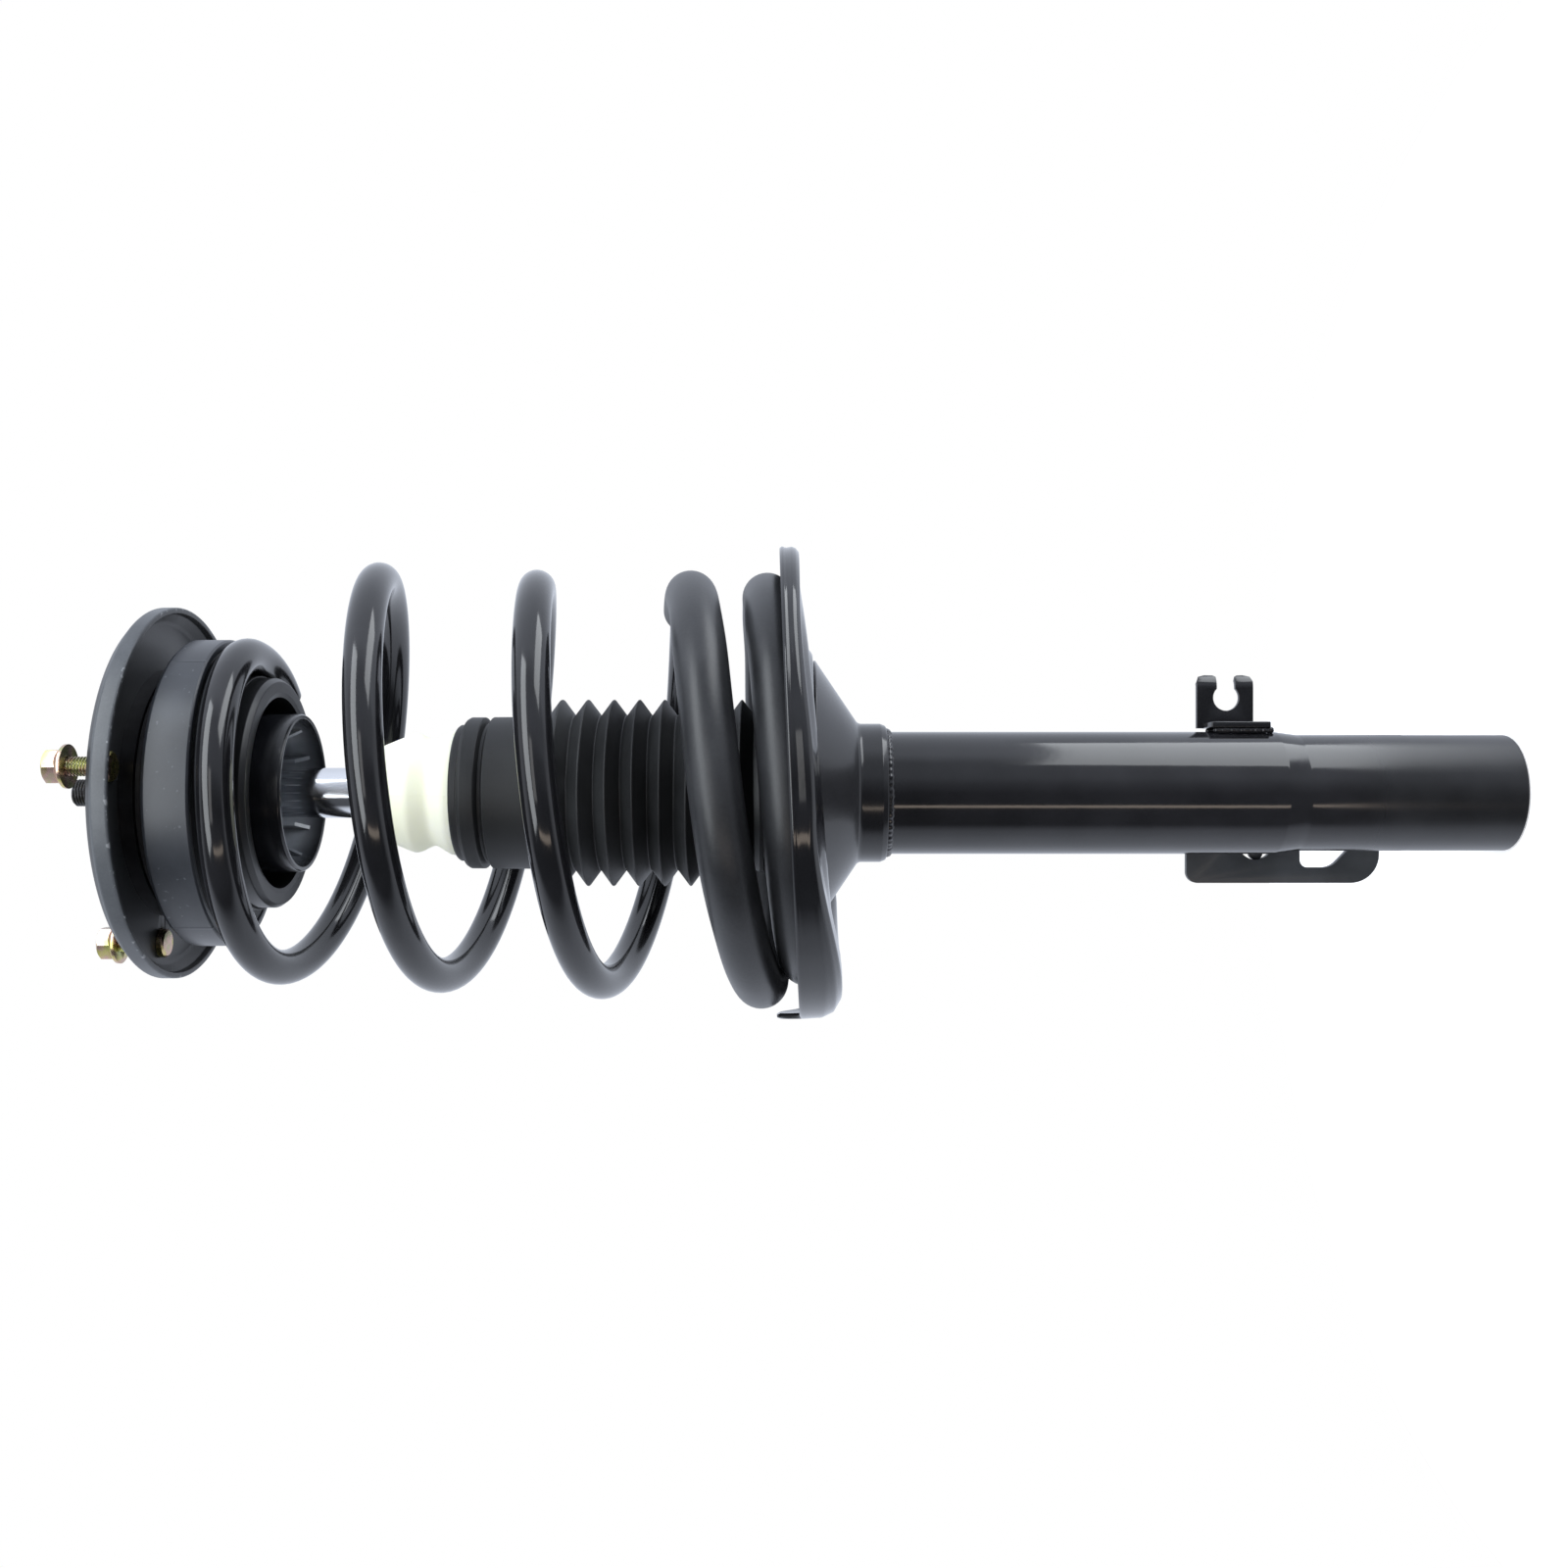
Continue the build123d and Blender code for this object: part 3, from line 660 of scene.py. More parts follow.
def pan_section(angle):
    """Closed outline of the pressed sheet at one angle round the tube."""
    wire_r, wire_z = trough(angle)
    edge = PAN_OFFSET * math.cos(angle) + math.sqrt(
        PAN_R**2 - (PAN_OFFSET * math.sin(angle)) ** 2
    )
    rim = 314.0 + 4.4 * math.cos(angle) - 0.6 * math.sin(angle)
    off = abs((angle - TONGUE_ANGLE + math.pi) % math.tau - math.pi)
    tongue = 1.0 - ease(off, TONGUE_HALF * 0.35, TONGUE_HALF * 1.25)
    hollow = SLEEVE_R + 0.6
    floor = wire_z - hollow
    deep = ease(308.0 - floor, 4.0, 13.0)
    wall_low = PAN_SHELF + 6.0 * ease(math.cos(angle), -0.1, 0.75)
    wall_low -= 11.9 * ease(-math.cos(angle), 0.1, 0.95)
    inner_wall = edge - PAN_SHEET

    def sheet(r, drop):
        """Height of the pressed sheet's upper face at one radius, or of its lower face."""
        if r > wire_r:
            return floor - drop + (wall_low - floor) * ease(r, wire_r, wire_r + hollow)
        flat = PAN_SHELF + max(0.0, floor - PAN_SHELF) * ease(r, 60.0, 68.0) - drop
        dip = (hollow + drop) ** 2 - (r - wire_r) ** 2
        return min(flat, wire_z - math.sqrt(dip)) if dip > 0 else flat

    def across(first, last, drop):
        radii = [first + (last - first) * i / PAN_STEPS for i in range(PAN_STEPS + 1)]
        return [(r, sheet(r, drop)) for r in radii]

    wall = [
        (inner_wall - 0.7 - 4.0 * deep, wall_low + 0.5 + 0.2 * deep),
        (inner_wall - 0.3 - 2.0 * deep, wall_low + 1.6 + 1.6 * deep),
        (inner_wall, wall_low + 2.6 + 5.0 * deep),
        (inner_wall, rim - 0.9),
        (inner_wall + 0.3 * tongue, rim - 0.2 + 9.2 * tongue),
        (inner_wall + 0.8 + 0.3 * tongue, rim + 10.0 * tongue),
    ]
    dish = 0.45 * (1 - deep)
    skirt = [
        (edge - 0.7 + 0.3 * tongue, rim + 9.8 * tongue),
        (edge + 0.2 * tongue, rim - 0.9 + 9.0 * tongue),
        (edge, rim - 1.4),
        (edge - dish, rim - 2.2),
        (edge - dish - 0.1, rim - 2.9),
        (edge - 0.1 - 0.4 * deep, wall_low + 0.6 + 5.0 * deep),
        (edge - 0.7 - 2.2 * deep, wall_low - 1.0 + 1.6 * deep),
        (edge - 2.4 - 5.6 * deep, wall_low - 2.4),
    ]
    return (
        across(PAN_BORE, inner_wall - 1.4 - 5.6 * deep, 0.0)
        + even(wall, 16)
        + even(skirt, 20)
        + across(edge - 3.4 - 5.6 * deep, PAN_BORE, PAN_SHEET)
    )


def even(points, count):
    """The same line with a fixed number of points, evenly apart along it."""
    line = [Vector(p) for p in points]
    travelled = [0.0]
    for a, b in zip(line, line[1:]):
        travelled.append(travelled[-1] + (b - a).length)
    result, k = [], 0
    for i in range(count):
        goal = travelled[-1] * i / (count - 1)
        while k < len(line) - 2 and travelled[k + 1] < goal:
            k += 1
        span = max(travelled[k + 1] - travelled[k], 1e-9)
        result.append(tuple(line[k].lerp(line[k + 1], (goal - travelled[k]) / span)))
    return result


pan = lathe("lower_pan", pan_section, gloss_black("pan_paint", rough=0.1), 400, 50.0)
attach(pan, "strut_tube")
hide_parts("lower_spring_seat")

# ------------------------------------------------------------------ dust boot
# Moulded rubber bellows round the rod. A thick collar with two lips grips the bump stop, and
# eight folds run down into the pan. One fold near the collar carries a pinched dent.
rubber = Finish("boot_rubber", Roughness=0.55, IOR=1.45)
rubber_cloud = rubber.noise(45.0, 5.0)
rubber_grain = rubber.noise(1500.0, 2.0)
rubber.paint(
    Base_Color=rubber.colours(
        rubber_cloud + rubber_grain * 0.2,
        [(0.3, (0.008, 0.0085, 0.009)), (0.85, (0.02, 0.021, 0.022))],
    ),
    Roughness=rubber_cloud * 0.18 + 0.42,
    Normal=rubber.bump(rubber_grain, 0.00003, 0.5),
)
BOOT_LOW = 325.0
BELLOWS_TOP = 420.0
FOLD_PITCH = 11.2
FOLDS = 8
PINCH_ANGLE = math.radians(279)
PINCH_HEIGHT = 410.5

boot_skin = [
    (27.7, 458.5), (29.2, 458.5, 0.6), (29.9, 457.6, 0.4), (29.9, 455.4, 0.3),
    (32.4, 454.4, 0.8), (33.2, 453.0, 0.8), (33.2, 447.2, 0.8), (30.4, 446.0, 0.5),
    (30.4, 444.6, 0.5), (33.3, 443.6, 0.7), (33.4, 421.2, 1.0), (34.0, 418.9, 0.6),
]
for fold in range(FOLDS):
    peak = 413.4 - FOLD_PITCH * fold
    boot_skin += [(41.3, peak, 0.7), (33.8, peak - FOLD_PITCH / 2, 0.6)]
boot_skin += [(34.5, BOOT_LOW + 2.0, 0.4), (34.5, BOOT_LOW, 0.3)]
boot_lining = [(max(r - 1.2, 27.7), z) for r, z, *fillet in boot_skin[4:-1][::-1]]
boot_lining = [(32.3, BOOT_LOW)] + boot_lining + [(27.7, 452.0)]
boot_outline = rounded(*boot_skin, *boot_lining)


def boot_at(angle):
    """The boot's outline, pinched on the camera side of the first fold."""
    row = []
    for r, z in boot_outline:
        near = math.exp(-(((angle - PINCH_ANGLE) / 0.16) ** 2))
        pinch = near * math.exp(-(((z - PINCH_HEIGHT) / 2.2) ** 2))
        sag = 0.15 * math.sin(3 * angle + z * 0.11) if z < BELLOWS_TOP else 0.0
        row.append((r - 3.2 * pinch, z + sag))
    return row


boot = lathe("rubber_boot", boot_at, rubber.material, 256, 60.0)
stretch(
    boot,
    "strut_tube",
    "bumper",
    BOOT_LOW,
    BELLOWS_TOP,
    lambda v: min(max((v.co.z / MM - BOOT_LOW) / (BELLOWS_TOP - BOOT_LOW), 0.0), 1.0),
)
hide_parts("dust_boot")

# ------------------------------------------------------------------ bump stop
# Spring aid of pale microcellular foam, waisted once, with a thin mould line down each side.
foam = Finish("bump_foam", Roughness=0.78, IOR=1.4)
foam_cloud = foam.noise(35.0, 4.0)
foam_cells = foam.noise(2200.0, 2.0)
foam.paint(
    Base_Color=foam.colours(
        foam_cloud + foam_cells * 0.15, [(0.35, (0.96, 0.97, 0.72)), (0.8, (0.99, 0.99, 0.80))]
    ),
    Roughness=foam_cells * 0.2 + 0.65,
    Normal=foam.bump(foam_cells, 0.00004, 0.5),
)
foam.surface.inputs["Subsurface Weight"].default_value = 0.3
foam.surface.inputs["Subsurface Scale"].default_value = 0.02
foam.surface.inputs["Subsurface Radius"].default_value = (1.0, 1.0, 0.7)
bump_outline = rounded(
    (11.3, 440.0), (24.0, 440.0, 1.0), (27.0, 447.0, 2.0), (27.4, 461.8, 5.0),
    (22.7, 469.2, 4.0), (26.6, 477.4, 4.5), (20.7, 492.0, 6.0), (17.0, 498.8, 1.0),
    (15.5, 500.0, 0.6), (11.3, 500.0),
)


SEAM_ANGLE = math.radians(268)
SEAM_WIDTH = 0.006


def bump_at(angle):
    """The bump stop's outline, raised at the mould line on either side."""
    off = (angle - SEAM_ANGLE + math.pi / 2) % math.pi - math.pi / 2
    seam = math.exp(-((off / SEAM_WIDTH) ** 2))
    return [(r + 0.14 * seam if r > 15 else r, z) for r, z in bump_outline]


bump = lathe("foam_bump_stop", bump_at, foam.material, 720, 60.0)
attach(bump, "bumper")
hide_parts("bump_stop")

# ------------------------------------------------------------------ upper spring seat
# Glass-filled nylon seat under the bearing: an outer ring whose lower edge follows the top
# coil, a tall hub through the spring, and radial ribs inside the hub. The mould halves have
# left two thin lines across the ring.
nylon = Finish("seat_nylon", Roughness=0.38, IOR=1.5)
nylon_cloud = nylon.noise(28.0, 5.0)
nylon_grain = nylon.noise(1300.0, 2.0)
nylon_flecks = nylon.noise(420.0, 1.0).step(0.70, 0.78)
nylon_dark = nylon.colours(
    nylon_cloud + nylon_grain * 0.12,
    [(0.35, (0.015, 0.017, 0.021)), (0.85, (0.046, 0.051, 0.061))],
)
# Painted shade: the hub and its ribs inside the spring are painted near black, while the ring keeps the
# nylon's own mottled tone.
on_ring = nylon.radius().step(0.0530, 0.0560)
nylon_dark = nylon.mix(on_ring, (0.006, 0.0065, 0.0075, 1.0), nylon_dark)
nylon.paint(
    Base_Color=nylon.mix(
        nylon_flecks * nylon_cloud * on_ring * 0.5, nylon_dark, (0.22, 0.24, 0.26, 1.0)
    ),
    Roughness=nylon_cloud * 0.2 + 0.26,
    Normal=nylon.bump(nylon_grain, 0.00002, 0.6),
)
RING_R = 67.0
RING_TOP = 573.0
HUB_R = 50.4
HUB_LOW = 537.0
MOULD_LINES = (math.radians(213), math.radians(325))


def seat_at(angle):
    """Outline of the seat with the ring's helical lower edge and its mould lines."""
    turn = (-angle / math.tau) % 1.0
    ring_low = 557.4 - 3.8 * ease(turn, 0.0, 0.25) + 6.0 * ease(turn, 0.3, 0.9)
    ring_low -= 2.2 * ease(turn, 0.9, 1.0)
    line = sum(math.exp(-(((angle - at) / SEAM_WIDTH) ** 2)) for at in MOULD_LINES)
    ring_r = RING_R + 0.22 * line
    return rounded(
        (42.0, HUB_LOW + 0.6), (44.0, HUB_LOW, 0.8), (HUB_R - 1.6, HUB_LOW, 0.8),
        (HUB_R, HUB_LOW + 2.2, 1.2), (HUB_R, 564.0, 0.8), (RING_R - 3.4, 564.0, 0.6),
        (RING_R - 3.2, ring_low, 0.5), (ring_r - 0.8, ring_low, 0.5),
        (ring_r, ring_low + 0.8, 0.5), (ring_r, RING_TOP - 1.6, 0.8),
        (ring_r - 1.4, RING_TOP, 0.6), (55.0, RING_TOP, 0.4), (55.0, 569.8), (44.0, 569.8),
        (44.0, RING_TOP, 0.4), (42.0, RING_TOP, 0.4),
    )


seat = lathe("upper_seat_ring", seat_at, nylon.material, 720, 40.0)
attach(seat, "upper_seat")
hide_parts("upper_spring_seat")

rib_group, steps, given = node_group(
    "rib_ring",
    ("Count", "Int"), ("Low", "Float"), ("Height", "Float"), ("Inner", "Float"),
    ("Depth", "Float"), ("Thick", "Float"), ("Taper", "Float"), ("Paint", "Material"),
)
size = steps.add(
    "ShaderNodeCombineXYZ", {}, {0: given["Depth"], 1: given["Thick"], 2: given["Height"]}
)
block = steps.add(
    "GeometryNodeMeshCube", {}, {"Size": size, "Vertices X": 2, "Vertices Y": 2, "Vertices Z": 2}
)
spot = steps.add("GeometryNodeInputPosition")
x_part, y_part, z_part = steps.split(spot)
below_zero = {"data_type": "FLOAT", "operation": "LESS_THAN"}
inner_side = steps.add("FunctionNodeCompare", below_zero, {0: x_part, 1: 0.0})
low_side = steps.add("FunctionNodeCompare", below_zero, {0: z_part, 1: 0.0})
corner = steps.add("FunctionNodeBooleanMath", {"operation": "AND"}, {0: inner_side, 1: low_side})
raised = steps.add("ShaderNodeCombineXYZ", {}, {0: 0.0, 1: 0.0, 2: given["Taper"]})
block = steps.add(
    "GeometryNodeSetPosition", {}, {"Geometry": block, "Selection": corner, "Offset": raised}
)
middle = given["Inner"] + given["Depth"] * 0.5
out = steps.add(
    "ShaderNodeCombineXYZ", {}, {0: middle, 1: 0.0, 2: given["Low"] + given["Height"] * 0.5}
)
block = steps.add("GeometryNodeTransform", {}, {"Geometry": block, "Translation": out})
places = steps.add(
    "GeometryNodeMeshLine", {"mode": "OFFSET"}, {"Count": given["Count"], "Offset": (0.0, 0.0, 0.0)}
)
index = steps.add("GeometryNodeInputIndex")
turned = steps.add(
    "ShaderNodeCombineXYZ", {}, {0: 0.0, 1: 0.0, 2: index * math.tau / given["Count"]}
)
ribs = steps.add(
    "GeometryNodeInstanceOnPoints", {}, {"Points": places, "Instance": block, "Rotation": turned}
)
hand_out(steps, given, ribs)


def rib_ring(name, **values):
    """A ring of ribs with their lower inner corners cut away. Lengths in metres."""
    holder = placed(name, bpy.data.meshes.new(name))
    return smooth(grown(holder, rib_group, **values), 30.0)


hub_ribs = rib_ring(
    "hub_rib", Count=8, Low=0.5445, Height=0.022, Inner=0.0372, Depth=0.0052, Thick=0.0022,
    Taper=0.007, Paint=nylon.material,
)
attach(hub_ribs, "upper_seat")

# ------------------------------------------------------------------ spring isolator
# Soft rubber pad between the seat and the top coil. It is squeezed out in a thin lip beside
# the wire.
isolator_rubber = Finish("isolator_rubber", Roughness=0.5, IOR=1.45)
isolator_grain = isolator_rubber.noise(900.0, 3.0)
isolator_rubber.paint(
    Base_Color=isolator_rubber.colours(
        isolator_grain, [(0.3, (0.007, 0.0075, 0.008)), (0.8, (0.016, 0.0165, 0.018))]
    ),
    Roughness=isolator_grain * 0.2 + 0.42,
    Normal=isolator_rubber.bump(isolator_grain, 0.00004, 0.5),
)


def isolator_at(angle):
    """Outline of the pad, shaped to the top coil for its seated part."""
    turn = (-angle / math.tau) % 1.0
    seated = 1.0 - ease(turn, 0.30, 0.60)
    low = 557.2 - 8.0 * turn * seated
    return rounded(
        (HUB_R + 0.05, 545.4, 0.3), (HUB_R + 0.9, 545.4, 0.4), (HUB_R + 1.3, 556.0, 0.5),
        (58.0, max(low, 557.0), 1.0), (RING_R - 3.6, 556.8, 0.8), (RING_R - 3.6, 563.8, 0.3),
        (HUB_R + 0.05, 563.8, 0.3),
    )


isolator = lathe("coil_isolator", isolator_at, isolator_rubber.material, 256, 50.0)
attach(isolator, "upper_seat")
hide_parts("spring_isolator")

# ------------------------------------------------------------------ rebound cup
# Glossy moulded cup that meets the bump stop. Twelve ribs stiffen its mouth, and a stem
# carries it under the mount's rubber.
cup_nylon = Finish("cup_nylon", Roughness=0.24, IOR=1.5)
cup_cloud = cup_nylon.noise(60.0, 4.0)
cup_dark = cup_nylon.colours(
    cup_cloud, [(0.35, (0.006, 0.0065, 0.008)), (0.85, (0.016, 0.017, 0.02))]
)
# Painted reflection: the inside of the cup, walls and floor, is painted light grey for the bright room seen
# in its glossy inner wall.
painted_cup_reflection = cup_nylon.colours(cup_cloud, [(0.3, (0.16, 0.17, 0.19)), (0.85, (0.34, 0.36, 0.39))])
in_cup = 1 - cup_nylon.radius().step(0.0318, 0.0324)
in_cup = in_cup * (1 - cup_nylon.height().step(0.5484, 0.5490))
cup_nylon.paint(
    Base_Color=cup_nylon.mix(in_cup, cup_dark, painted_cup_reflection),
    Roughness=cup_cloud * 0.16 + 0.12,
    Normal=cup_nylon.bump(cup_nylon.noise(500.0, 2.0), 0.00003, 0.6),
)
cup = lathe(
    "rebound_cup",
    rounded(
        (32.4, 527.5, 0.5), (34.0, 527.5, 0.5), (34.6, 528.4, 0.5), (34.6, 551.0, 1.0),
        (28.0, 562.0, 1.0), (28.0, 566.0, 0.3), (14.0, 566.0, 0.3), (14.0, 562.0), (13.0, 562.0),
        (13.0, 548.0, 0.8), (31.6, 548.0, 2.5),
    ),
    cup_nylon.material,
    256,
    40.0,
)
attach(cup, "top_mount")
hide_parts("bumper_cup")
cup_ribs = rib_ring(
    "cup_rib", Count=12, Low=0.5335, Height=0.0148, Inner=0.0285, Depth=0.0036, Thick=0.0018,
    Taper=0.006, Paint=cup_nylon.material,
)
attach(cup_ribs, "top_mount")

# ------------------------------------------------------------------ mount plate
# Pressed steel plate with a turned-down rim and a raised dome over the rubber bush, dipped in
# satin black electrocoat. The rim's corner has rubbed through to bare steel in thin streaks.
coat = Finish("plate_coat", Roughness=0.42, IOR=1.5)
coat_cloud = coat.noise(30.0, 5.0)
coat_grain = coat.noise(1100.0, 3.0)
coat_mottle = coat_cloud + coat_grain * 0.2
coat_dark = coat.colours(
    coat_mottle, [(0.35, (0.011, 0.0115, 0.012)), (0.85, (0.032, 0.034, 0.037))]
)
rub = (coat.noise(320.0, 3.0) + coat_cloud * 0.3).step(0.74, 0.82)
corner_zone = coat.radius().step(0.0790, 0.0806) * (1 - coat.height().step(0.5806, 0.5812))
# Painted sheen: the rim's outer face is painted a lighter grey all round. The thin light streaks on its
# lower corner are real rubbed-through wear.
painted_rim_sheen = coat.colours(
    coat_mottle, [(0.35, (0.030, 0.033, 0.037)), (0.85, (0.095, 0.103, 0.113))]
)
coat_dark = coat.mix(coat.radius().step(0.0798, 0.0806), coat_dark, painted_rim_sheen)
coat.paint(
    Base_Color=coat.mix(rub * corner_zone * 0.7, coat_dark, (0.30, 0.31, 0.32, 1.0)),
    Roughness=coat_cloud * 0.2 + 0.3,
    Normal=coat.bump(coat_grain, 0.00004, 0.8),
)
PLATE_R = 81.0
PLATE_FACE = 590.0
STUD_PLACES = [(10.9, -65.0), (-65.1, -9.2), (38.9, 53.1)]
plate = lathe(
    "top_plate",
    rounded(
        (21.0, 603.0, 0.4), (36.0, 603.0, 2.0), (36.0, 587.0, 2.5), (74.5, 587.0, 3.5),
        (78.4, 583.0, 1.0), (78.6, 580.0, 0.5), (PLATE_R, 580.0, 0.8), (PLATE_R, 586.2, 2.0),
        (76.8, PLATE_FACE, 2.5), (43.0, PLATE_FACE, 4.0), (39.0, 596.0, 2.5), (39.0, 606.0, 3.5),
        (21.0, 606.0, 0.6),
    ),
    coat.material,
    256,
    40.0,
)
punches = []
for x, y in STUD_PLACES:
    bpy.ops.mesh.primitive_cylinder_add(
        vertices=48, radius=4.3 * MM, depth=0.02, location=(x * MM, y * MM, PLATE_FACE * MM)
    )
    punches.append(bpy.context.object)
    punch = plate.modifiers.new("punch", "BOOLEAN")
    punch.operation = "DIFFERENCE"
    punch.solver = "EXACT"
    punch.object = punches[-1]


def baked(piece):
    """Apply a piece's modifiers to its mesh."""
    bpy.context.view_layer.update()
    shape = piece.evaluated_get(bpy.context.evaluated_depsgraph_get())
    mesh = bpy.data.meshes.new_from_object(shape)
    piece.modifiers.clear()
    piece.data = mesh


baked(plate)
for tool in punches:
    bpy.data.objects.remove(tool)
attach(plate, "top_mount")
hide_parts("mount_plate")

# ------------------------------------------------------------------ studs and flange nuts
# Three M8 studs pressed through the plate from below, and the flange nuts on them, in yellow
# chromated zinc that turns from green-gold to pink.
zinc = Finish("yellow_zinc", Roughness=0.28, Metallic=1.0)
zinc_hue = zinc.noise(95.0)
zinc_stain = zinc.noise(600.0, 3.0)
zinc.paint(
    Base_Color=zinc.colours(
        zinc_hue + zinc_stain * 0.15,
        [
            (0.36, (0.34, 0.39, 0.10)), (0.48, (0.52, 0.46, 0.17)), (0.60, (0.57, 0.38, 0.33)),
            (0.72, (0.42, 0.42, 0.22)),
        ],
    ),
    Roughness=zinc_stain * 0.2 + 0.18,
    Normal=zinc.bump(zinc_stain, 0.00002, 0.6),
)


def thread(name, place, major, pitch, low, high, material, facing=36):
    """A rod end with a real rolled thread between two heights and a chamfered tip, in mm."""
    depth = 0.61 * pitch
    vertices, faces = [], []
    profile = (0.0, 0.15, 0.95, 0.95, 0.15)
    per_pitch = len(profile)
    rows = round((high - low) / pitch * per_pitch)
    for i in range(rows + 1):
        z = low + (high - low) * i / rows
        for k in range(facing):
            angle = math.tau * k / facing
            phase = ((z / pitch - k / facing) % 1.0) * per_pitch
            a, b = profile[int(phase) % per_pitch], profile[(int(phase) + 1) % per_pitch]
            cut = a + (b - a) * (phase % 1.0)
            fade = ease(z, low, low + pitch) * (1.0 - ease(z, high - 0.6, high) * 0.2)
            r = major - depth * cut * fade - max(0.0, z - (high - 0.9)) * 0.9
            x, y = place[0] + r * math.cos(angle), place[1] + r * math.sin(angle)
            vertices.append((x * MM, y * MM, z * MM))
    for i in range(rows):
        for k in range(facing):
            j = (k + 1) % facing
            a, b = i * facing, (i + 1) * facing
            faces.append((a + k, a + j, b + j, b + k))
    faces.append(tuple(range(facing))[::-1])
    faces.append(tuple(range(rows * facing, (rows + 1) * facing)))
    return finished(name, vertices, faces, material, 30.0)


STUD_TIP = 609.0
for number, (x, y) in enumerate(STUD_PLACES):
    shank = thread(f"stud_thread_{number}", (x, y), 4.0, 1.25, 588.0, STUD_TIP, zinc.material)
    head = lathe(
        f"stud_head_{number}",
        rounded(
            (0.0, 583.8), (5.4, 583.8, 0.4), (6.2, 584.6, 0.4), (6.2, 586.9, 0.2), (4.2, 586.9),
            (4.2, 590.0), (0.0, 590.0),
        ),
        zinc.material,
        64,
    )
    head.data.transform(Matrix.Translation((x * MM, y * MM, 0.0)))
    for piece in (shank, head):
        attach(piece, "top_mount")
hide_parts("studs")


def bevelled(piece, width, segments, limit, sharp):
    """Round a piece's edges by a width in mm, then shade it smooth up to a crease angle."""
    bevel = piece.modifiers.new("bevel", "BEVEL")
    bevel.width = width * MM
    bevel.segments = segments
    bevel.limit_method = "ANGLE"
    bevel.angle_limit = math.radians(limit)
    baked(piece)
    shaded(piece.data, sharp)
    return piece


def softened(node, name, material, width):
    """A copy of a CAD node with merged faces and small rounded edges."""
    mesh = nodes[node].data.copy()
    mesh.name = name
    shape = bmesh.new()
    shape.from_mesh(mesh)
    bmesh.ops.remove_doubles(shape, verts=shape.verts, dist=2e-6)
    bmesh.ops.dissolve_limit(
        shape, angle_limit=math.radians(1.0), verts=shape.verts, edges=shape.edges
    )
    shape.to_mesh(mesh)
    shape.free()
    mesh.materials.clear()
    mesh.materials.append(material)
    return bevelled(placed(name, mesh), width, 2, 25.0, 40.0)


for node in ("flange_nuts", "rebound_washer", "rod_nut"):
    piece = softened(node, node + "_piece", zinc.material, 0.25)
    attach(piece, "top_mount")
    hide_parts(node)

# ------------------------------------------------------------------ piston rod
# Ground rod with hard chrome, a little hazy in places. Its M12 end above the mount is left
# dark from heat treatment.
chrome = Finish("hard_chrome", Roughness=0.1, Metallic=1.0)
chrome_haze = chrome.noise(25.0, 3.0)
chrome.paint(
    Base_Color=chrome.colours(
        chrome_haze, [(0.3, (0.60, 0.61, 0.63)), (0.8, (0.68, 0.69, 0.71))]
    ),
    Roughness=chrome_haze * 0.06 + 0.08,
)
rod = lathe(
    "chrome_rod",
    rounded(
        (0.0, 292.0), (4.2, 292.0), (5.0, 292.8), (5.0, 318.0), (10.4, 318.0), (11.0, 318.6),
        (11.0, 588.6, 0.6), (10.0, 590.0, 0.6), (5.6, 590.0), (5.6, 606.8), (0.0, 606.8),
    ),
    chrome.material,
    128,
    30.0,
)
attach(rod, "top_mount")
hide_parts("piston_rod")
tip_steel = Finish("tip_steel", Roughness=0.42, Metallic=0.9)
tip_cloud = tip_steel.noise(200.0, 3.0)
tip_steel.paint(
    Base_Color=tip_steel.colours(
        tip_cloud, [(0.3, (0.05, 0.05, 0.052)), (0.8, (0.10, 0.10, 0.105))]
    ),
    Roughness=tip_cloud * 0.25 + 0.3,
)
tip = thread("rod_thread", (0.0, 0.0), 6.0, 1.25, 605.5, 628.0, tip_steel.material, 48)
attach(tip, "top_mount")

# ------------------------------------------------------------------ brake hose clip
# Small bracket bent from sheet steel and welded to the tube: a foot and an upright with a
# horseshoe notch, whose two prongs curl back at their tips. Painted with the tube.
CLIP_SHEET = 2.6
CLIP_BACK = 8.6
clip_paint = gloss_black("clip_paint", rough=0.16)
CLIP_LOW = 108.2
CLIP_HIGH = 133.2
NOTCH_X = 42.2
NOTCH_Z = 120.2
NOTCH_R = 5.75
MOUTH_HALF = 4.1
ARC_STEPS = 24


def prong(side, edge_z):
    """The tip of one prong, from its outer edge to the mouth of the notch."""
    mouth_z = NOTCH_Z + side * MOUTH_HALF
    lip_x = NOTCH_X + math.sqrt(NOTCH_R**2 - MOUTH_HALF**2) + 0.4
    outer = [(52.4, edge_z - side * 1.0), (53.6, edge_z - side * 4.0)]
    return outer + [(53.4, mouth_z + side * 1.2), (52.4, mouth_z), (lip_x, mouth_z)]


mouth = math.asin(MOUTH_HALF / NOTCH_R)
clip_outline = [(28.6, CLIP_LOW), (49.6, CLIP_LOW)] + prong(-1, CLIP_LOW)
for i in range(ARC_STEPS + 1):
    angle = -mouth - (math.tau - 2 * mouth) * i / ARC_STEPS
    clip_outline.append((NOTCH_X + NOTCH_R * math.cos(angle), NOTCH_Z + NOTCH_R * math.sin(angle)))
clip_outline += prong(1, CLIP_HIGH)[::-1] + [(49.6, CLIP_HIGH), (28.6, CLIP_HIGH)]


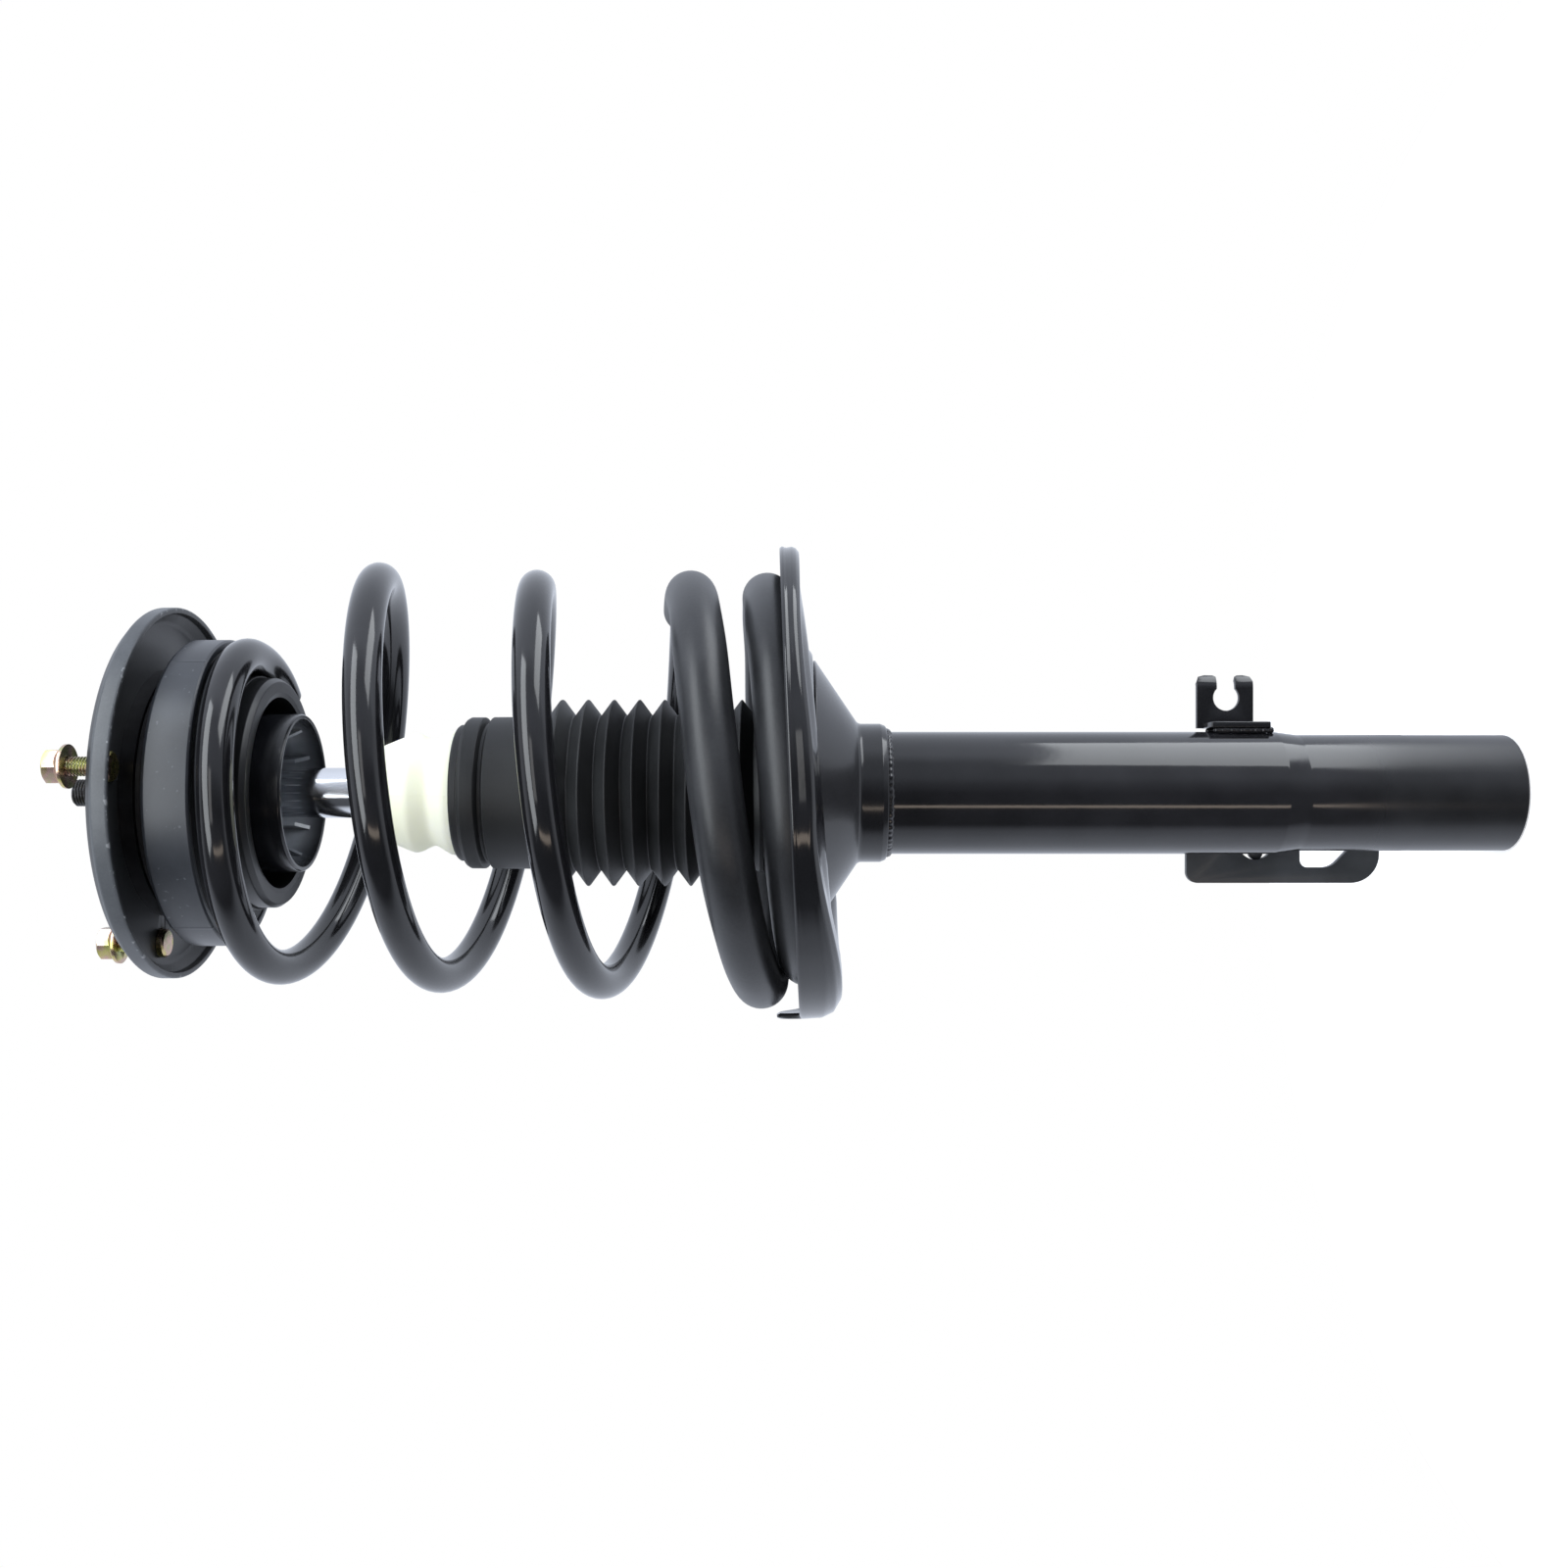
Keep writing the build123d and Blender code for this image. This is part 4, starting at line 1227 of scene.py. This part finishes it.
def slab(name, outline, back, sheet, material, bend=None, slices=()):
    """A flat sheet cut to an (x, z) outline in mm, facing along Y, then bent and bevelled.

    It is sliced across at the given x places first, so that it bends evenly."""
    shape = bmesh.new()
    ring = [shape.verts.new((x, back, z)) for x, z in outline]
    face = shape.faces.new(ring)
    grown_faces = bmesh.ops.extrude_face_region(shape, geom=[face])["geom"]
    bmesh.ops.translate(
        shape,
        vec=(0.0, -sheet, 0.0),
        verts=[v for v in grown_faces if isinstance(v, bmesh.types.BMVert)],
    )
    for x in slices:
        bmesh.ops.bisect_plane(
            shape,
            geom=shape.verts[:] + shape.edges[:] + shape.faces[:],
            plane_co=(x, 0, 0),
            plane_no=(1, 0, 0),
        )
    for v in shape.verts:
        if bend is not None:
            v.co = Vector(bend(v.co))
        v.co *= MM
    bmesh.ops.recalc_face_normals(shape, faces=shape.faces)
    mesh = bpy.data.meshes.new(name)
    shape.to_mesh(mesh)
    shape.free()
    mesh.materials.append(material)
    return bevelled(placed(name, mesh), 0.45, 3, 42.0, 35.0)


CURL_FROM = 46.6
CURL_R = 7.0


def curl(place):
    """Roll the prongs' tips back, away from the hose."""
    x, y, z = place
    if x <= CURL_FROM:
        return x, y, z
    angle = (x - CURL_FROM) / CURL_R
    reach = CURL_R + (CLIP_BACK - y) - CLIP_SHEET
    lift = CLIP_BACK + CURL_R - CLIP_SHEET - reach * math.cos(angle)
    return CURL_FROM + reach * math.sin(angle), lift, z


upright = slab(
    "hose_clip_upright",
    clip_outline,
    CLIP_BACK,
    CLIP_SHEET,
    clip_paint,
    curl,
    [CURL_FROM + 0.5 * i for i in range(13)],
)
foot = slab(
    "hose_clip_foot",
    [(28.5, 104.8), (31.1, 104.8), (31.1, 130.5), (28.5, 130.5)],
    CLIP_BACK,
    2 * CLIP_BACK,
    clip_paint,
)
for piece in (upright, foot):
    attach(piece, "strut_tube")
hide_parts("hose_clip")

weld_group, steps, given = node_group("weld_bead", ("Ripple", "Float"), ("Paint", "Material"))
line = steps.add("GeometryNodeMeshToCurve", {}, {"Mesh": given["Geometry"]})
spacing = given["Ripple"] * 0.45
spaced = steps.add(
    "GeometryNodeResampleCurve", {"mode": "LENGTH"}, {"Curve": line, "Length": spacing}
)
drop = steps.add(
    "GeometryNodeMeshIcoSphere", {}, {"Radius": given["Ripple"], "Subdivisions": 2}
)
wobble = steps.add(
    "FunctionNodeRandomValue",
    {"data_type": "FLOAT"},
    {"Min": 0.85, "Max": 1.12, "Seed": 7},
    out=1,
)
beads = steps.add(
    "GeometryNodeInstanceOnPoints", {}, {"Points": spaced, "Instance": drop, "Scale": wobble}
)
beads = steps.add("GeometryNodeRealizeInstances", {}, {"Geometry": beads})
beads = steps.add("GeometryNodeSetShadeSmooth", {}, {"Geometry": beads})
hand_out(steps, given, beads)


def weld(name, points, ripple, paint):
    """A run of weld ripples along points in mm."""
    path = bpy.data.meshes.new(name)
    path.from_pydata(
        [Vector(p) * MM for p in points], [(i, i + 1) for i in range(len(points) - 1)], []
    )
    run = grown(placed(name, path), weld_group, Ripple=ripple * MM, Paint=paint)
    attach(run, "strut_tube")


for side in (-1, 1):
    run = [(27.4, side * 6.6, z) for z in (104.5, 116, 128)]
    weld(f"clip_weld_{side + 1}", run, 1.5, clip_paint)

# ------------------------------------------------------------------ index bracket
# Flat plate welded to the back of the tube, which turns the strut to its place in the
# knuckle. An egg-shaped window and a round hole are punched in it, and a peg sits behind.
bracket_paint = gloss_black("bracket_paint", tint=(0.034, 0.037, 0.042), rough=0.36)
for node in ("index_bracket", "index_pin"):
    piece = softened(node, node + "_piece", bracket_paint, 0.5)
    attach(piece, "strut_tube")
    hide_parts(node)
weld("bracket_weld", [(-13.6, 21.8, z) for z in (50, 80, 132)], 1.4, bracket_paint)

# ------------------------------------------------------------------ hidden works
# Parts inside the damper, the bearing and the mount. They keep their machined CAD shapes and
# get the finish of their material.


def plain(name, dark, light, scale, rough, metallic=0.0, grain=0.00002, spread=0.15):
    finish = Finish(name, Roughness=rough, Metallic=metallic)
    cloud = finish.noise(scale, 4.0)
    finish.paint(
        Base_Color=finish.colours(cloud, [(0.3, dark), (0.8, light)]),
        Roughness=cloud * spread + (rough - spread / 2),
        Normal=finish.bump(finish.noise(scale * 14.0, 2.0), grain, 0.5),
    )
    return finish.material


hidden = {
    plain("plain_steel", (0.30, 0.31, 0.32), (0.45, 0.46, 0.47), 120, 0.32, 1.0): (
        "base_cup foot_valve pressure_tube rod_guide mount_sleeve piston_nut rebound_stop"
    ),
    plain("bearing_steel", (0.52, 0.53, 0.55), (0.64, 0.65, 0.67), 90, 0.15, 1.0): (
        "bearing_balls valve_discs"
    ),
    plain("race_steel", (0.020, 0.020, 0.022), (0.045, 0.046, 0.05), 120, 0.35, 0.6): (
        "lower_race upper_race"
    ),
    plain("sintered_iron", (0.14, 0.14, 0.145), (0.22, 0.22, 0.225), 900, 0.55, 0.8, 0.00006): (
        "piston"
    ),
    plain("bush_bronze", (0.45, 0.28, 0.12), (0.58, 0.38, 0.18), 160, 0.3, 1.0): "guide_bush",
    plain("ring_plastic", (0.05, 0.05, 0.055), (0.09, 0.09, 0.095), 200, 0.4): "piston_ring",
    plain("cap_plastic", (0.018, 0.019, 0.02), (0.035, 0.036, 0.038), 200, 0.4): "strike_cap",
    plain("cage_plastic", (0.015, 0.015, 0.017), (0.03, 0.03, 0.033), 150, 0.45): "ball_cage",
    plain("seal_rubber", (0.010, 0.010, 0.011), (0.02, 0.02, 0.022), 300, 0.5): "rod_seal",
    plain("mount_rubber", (0.010, 0.0105, 0.011), (0.022, 0.023, 0.024), 120, 0.6): "mount_rubber",
}
for finish, names in hidden.items():
    for name in names.split():
        for slot in nodes[name].material_slots:
            slot.material = finish

bpy.context.view_layer.update()
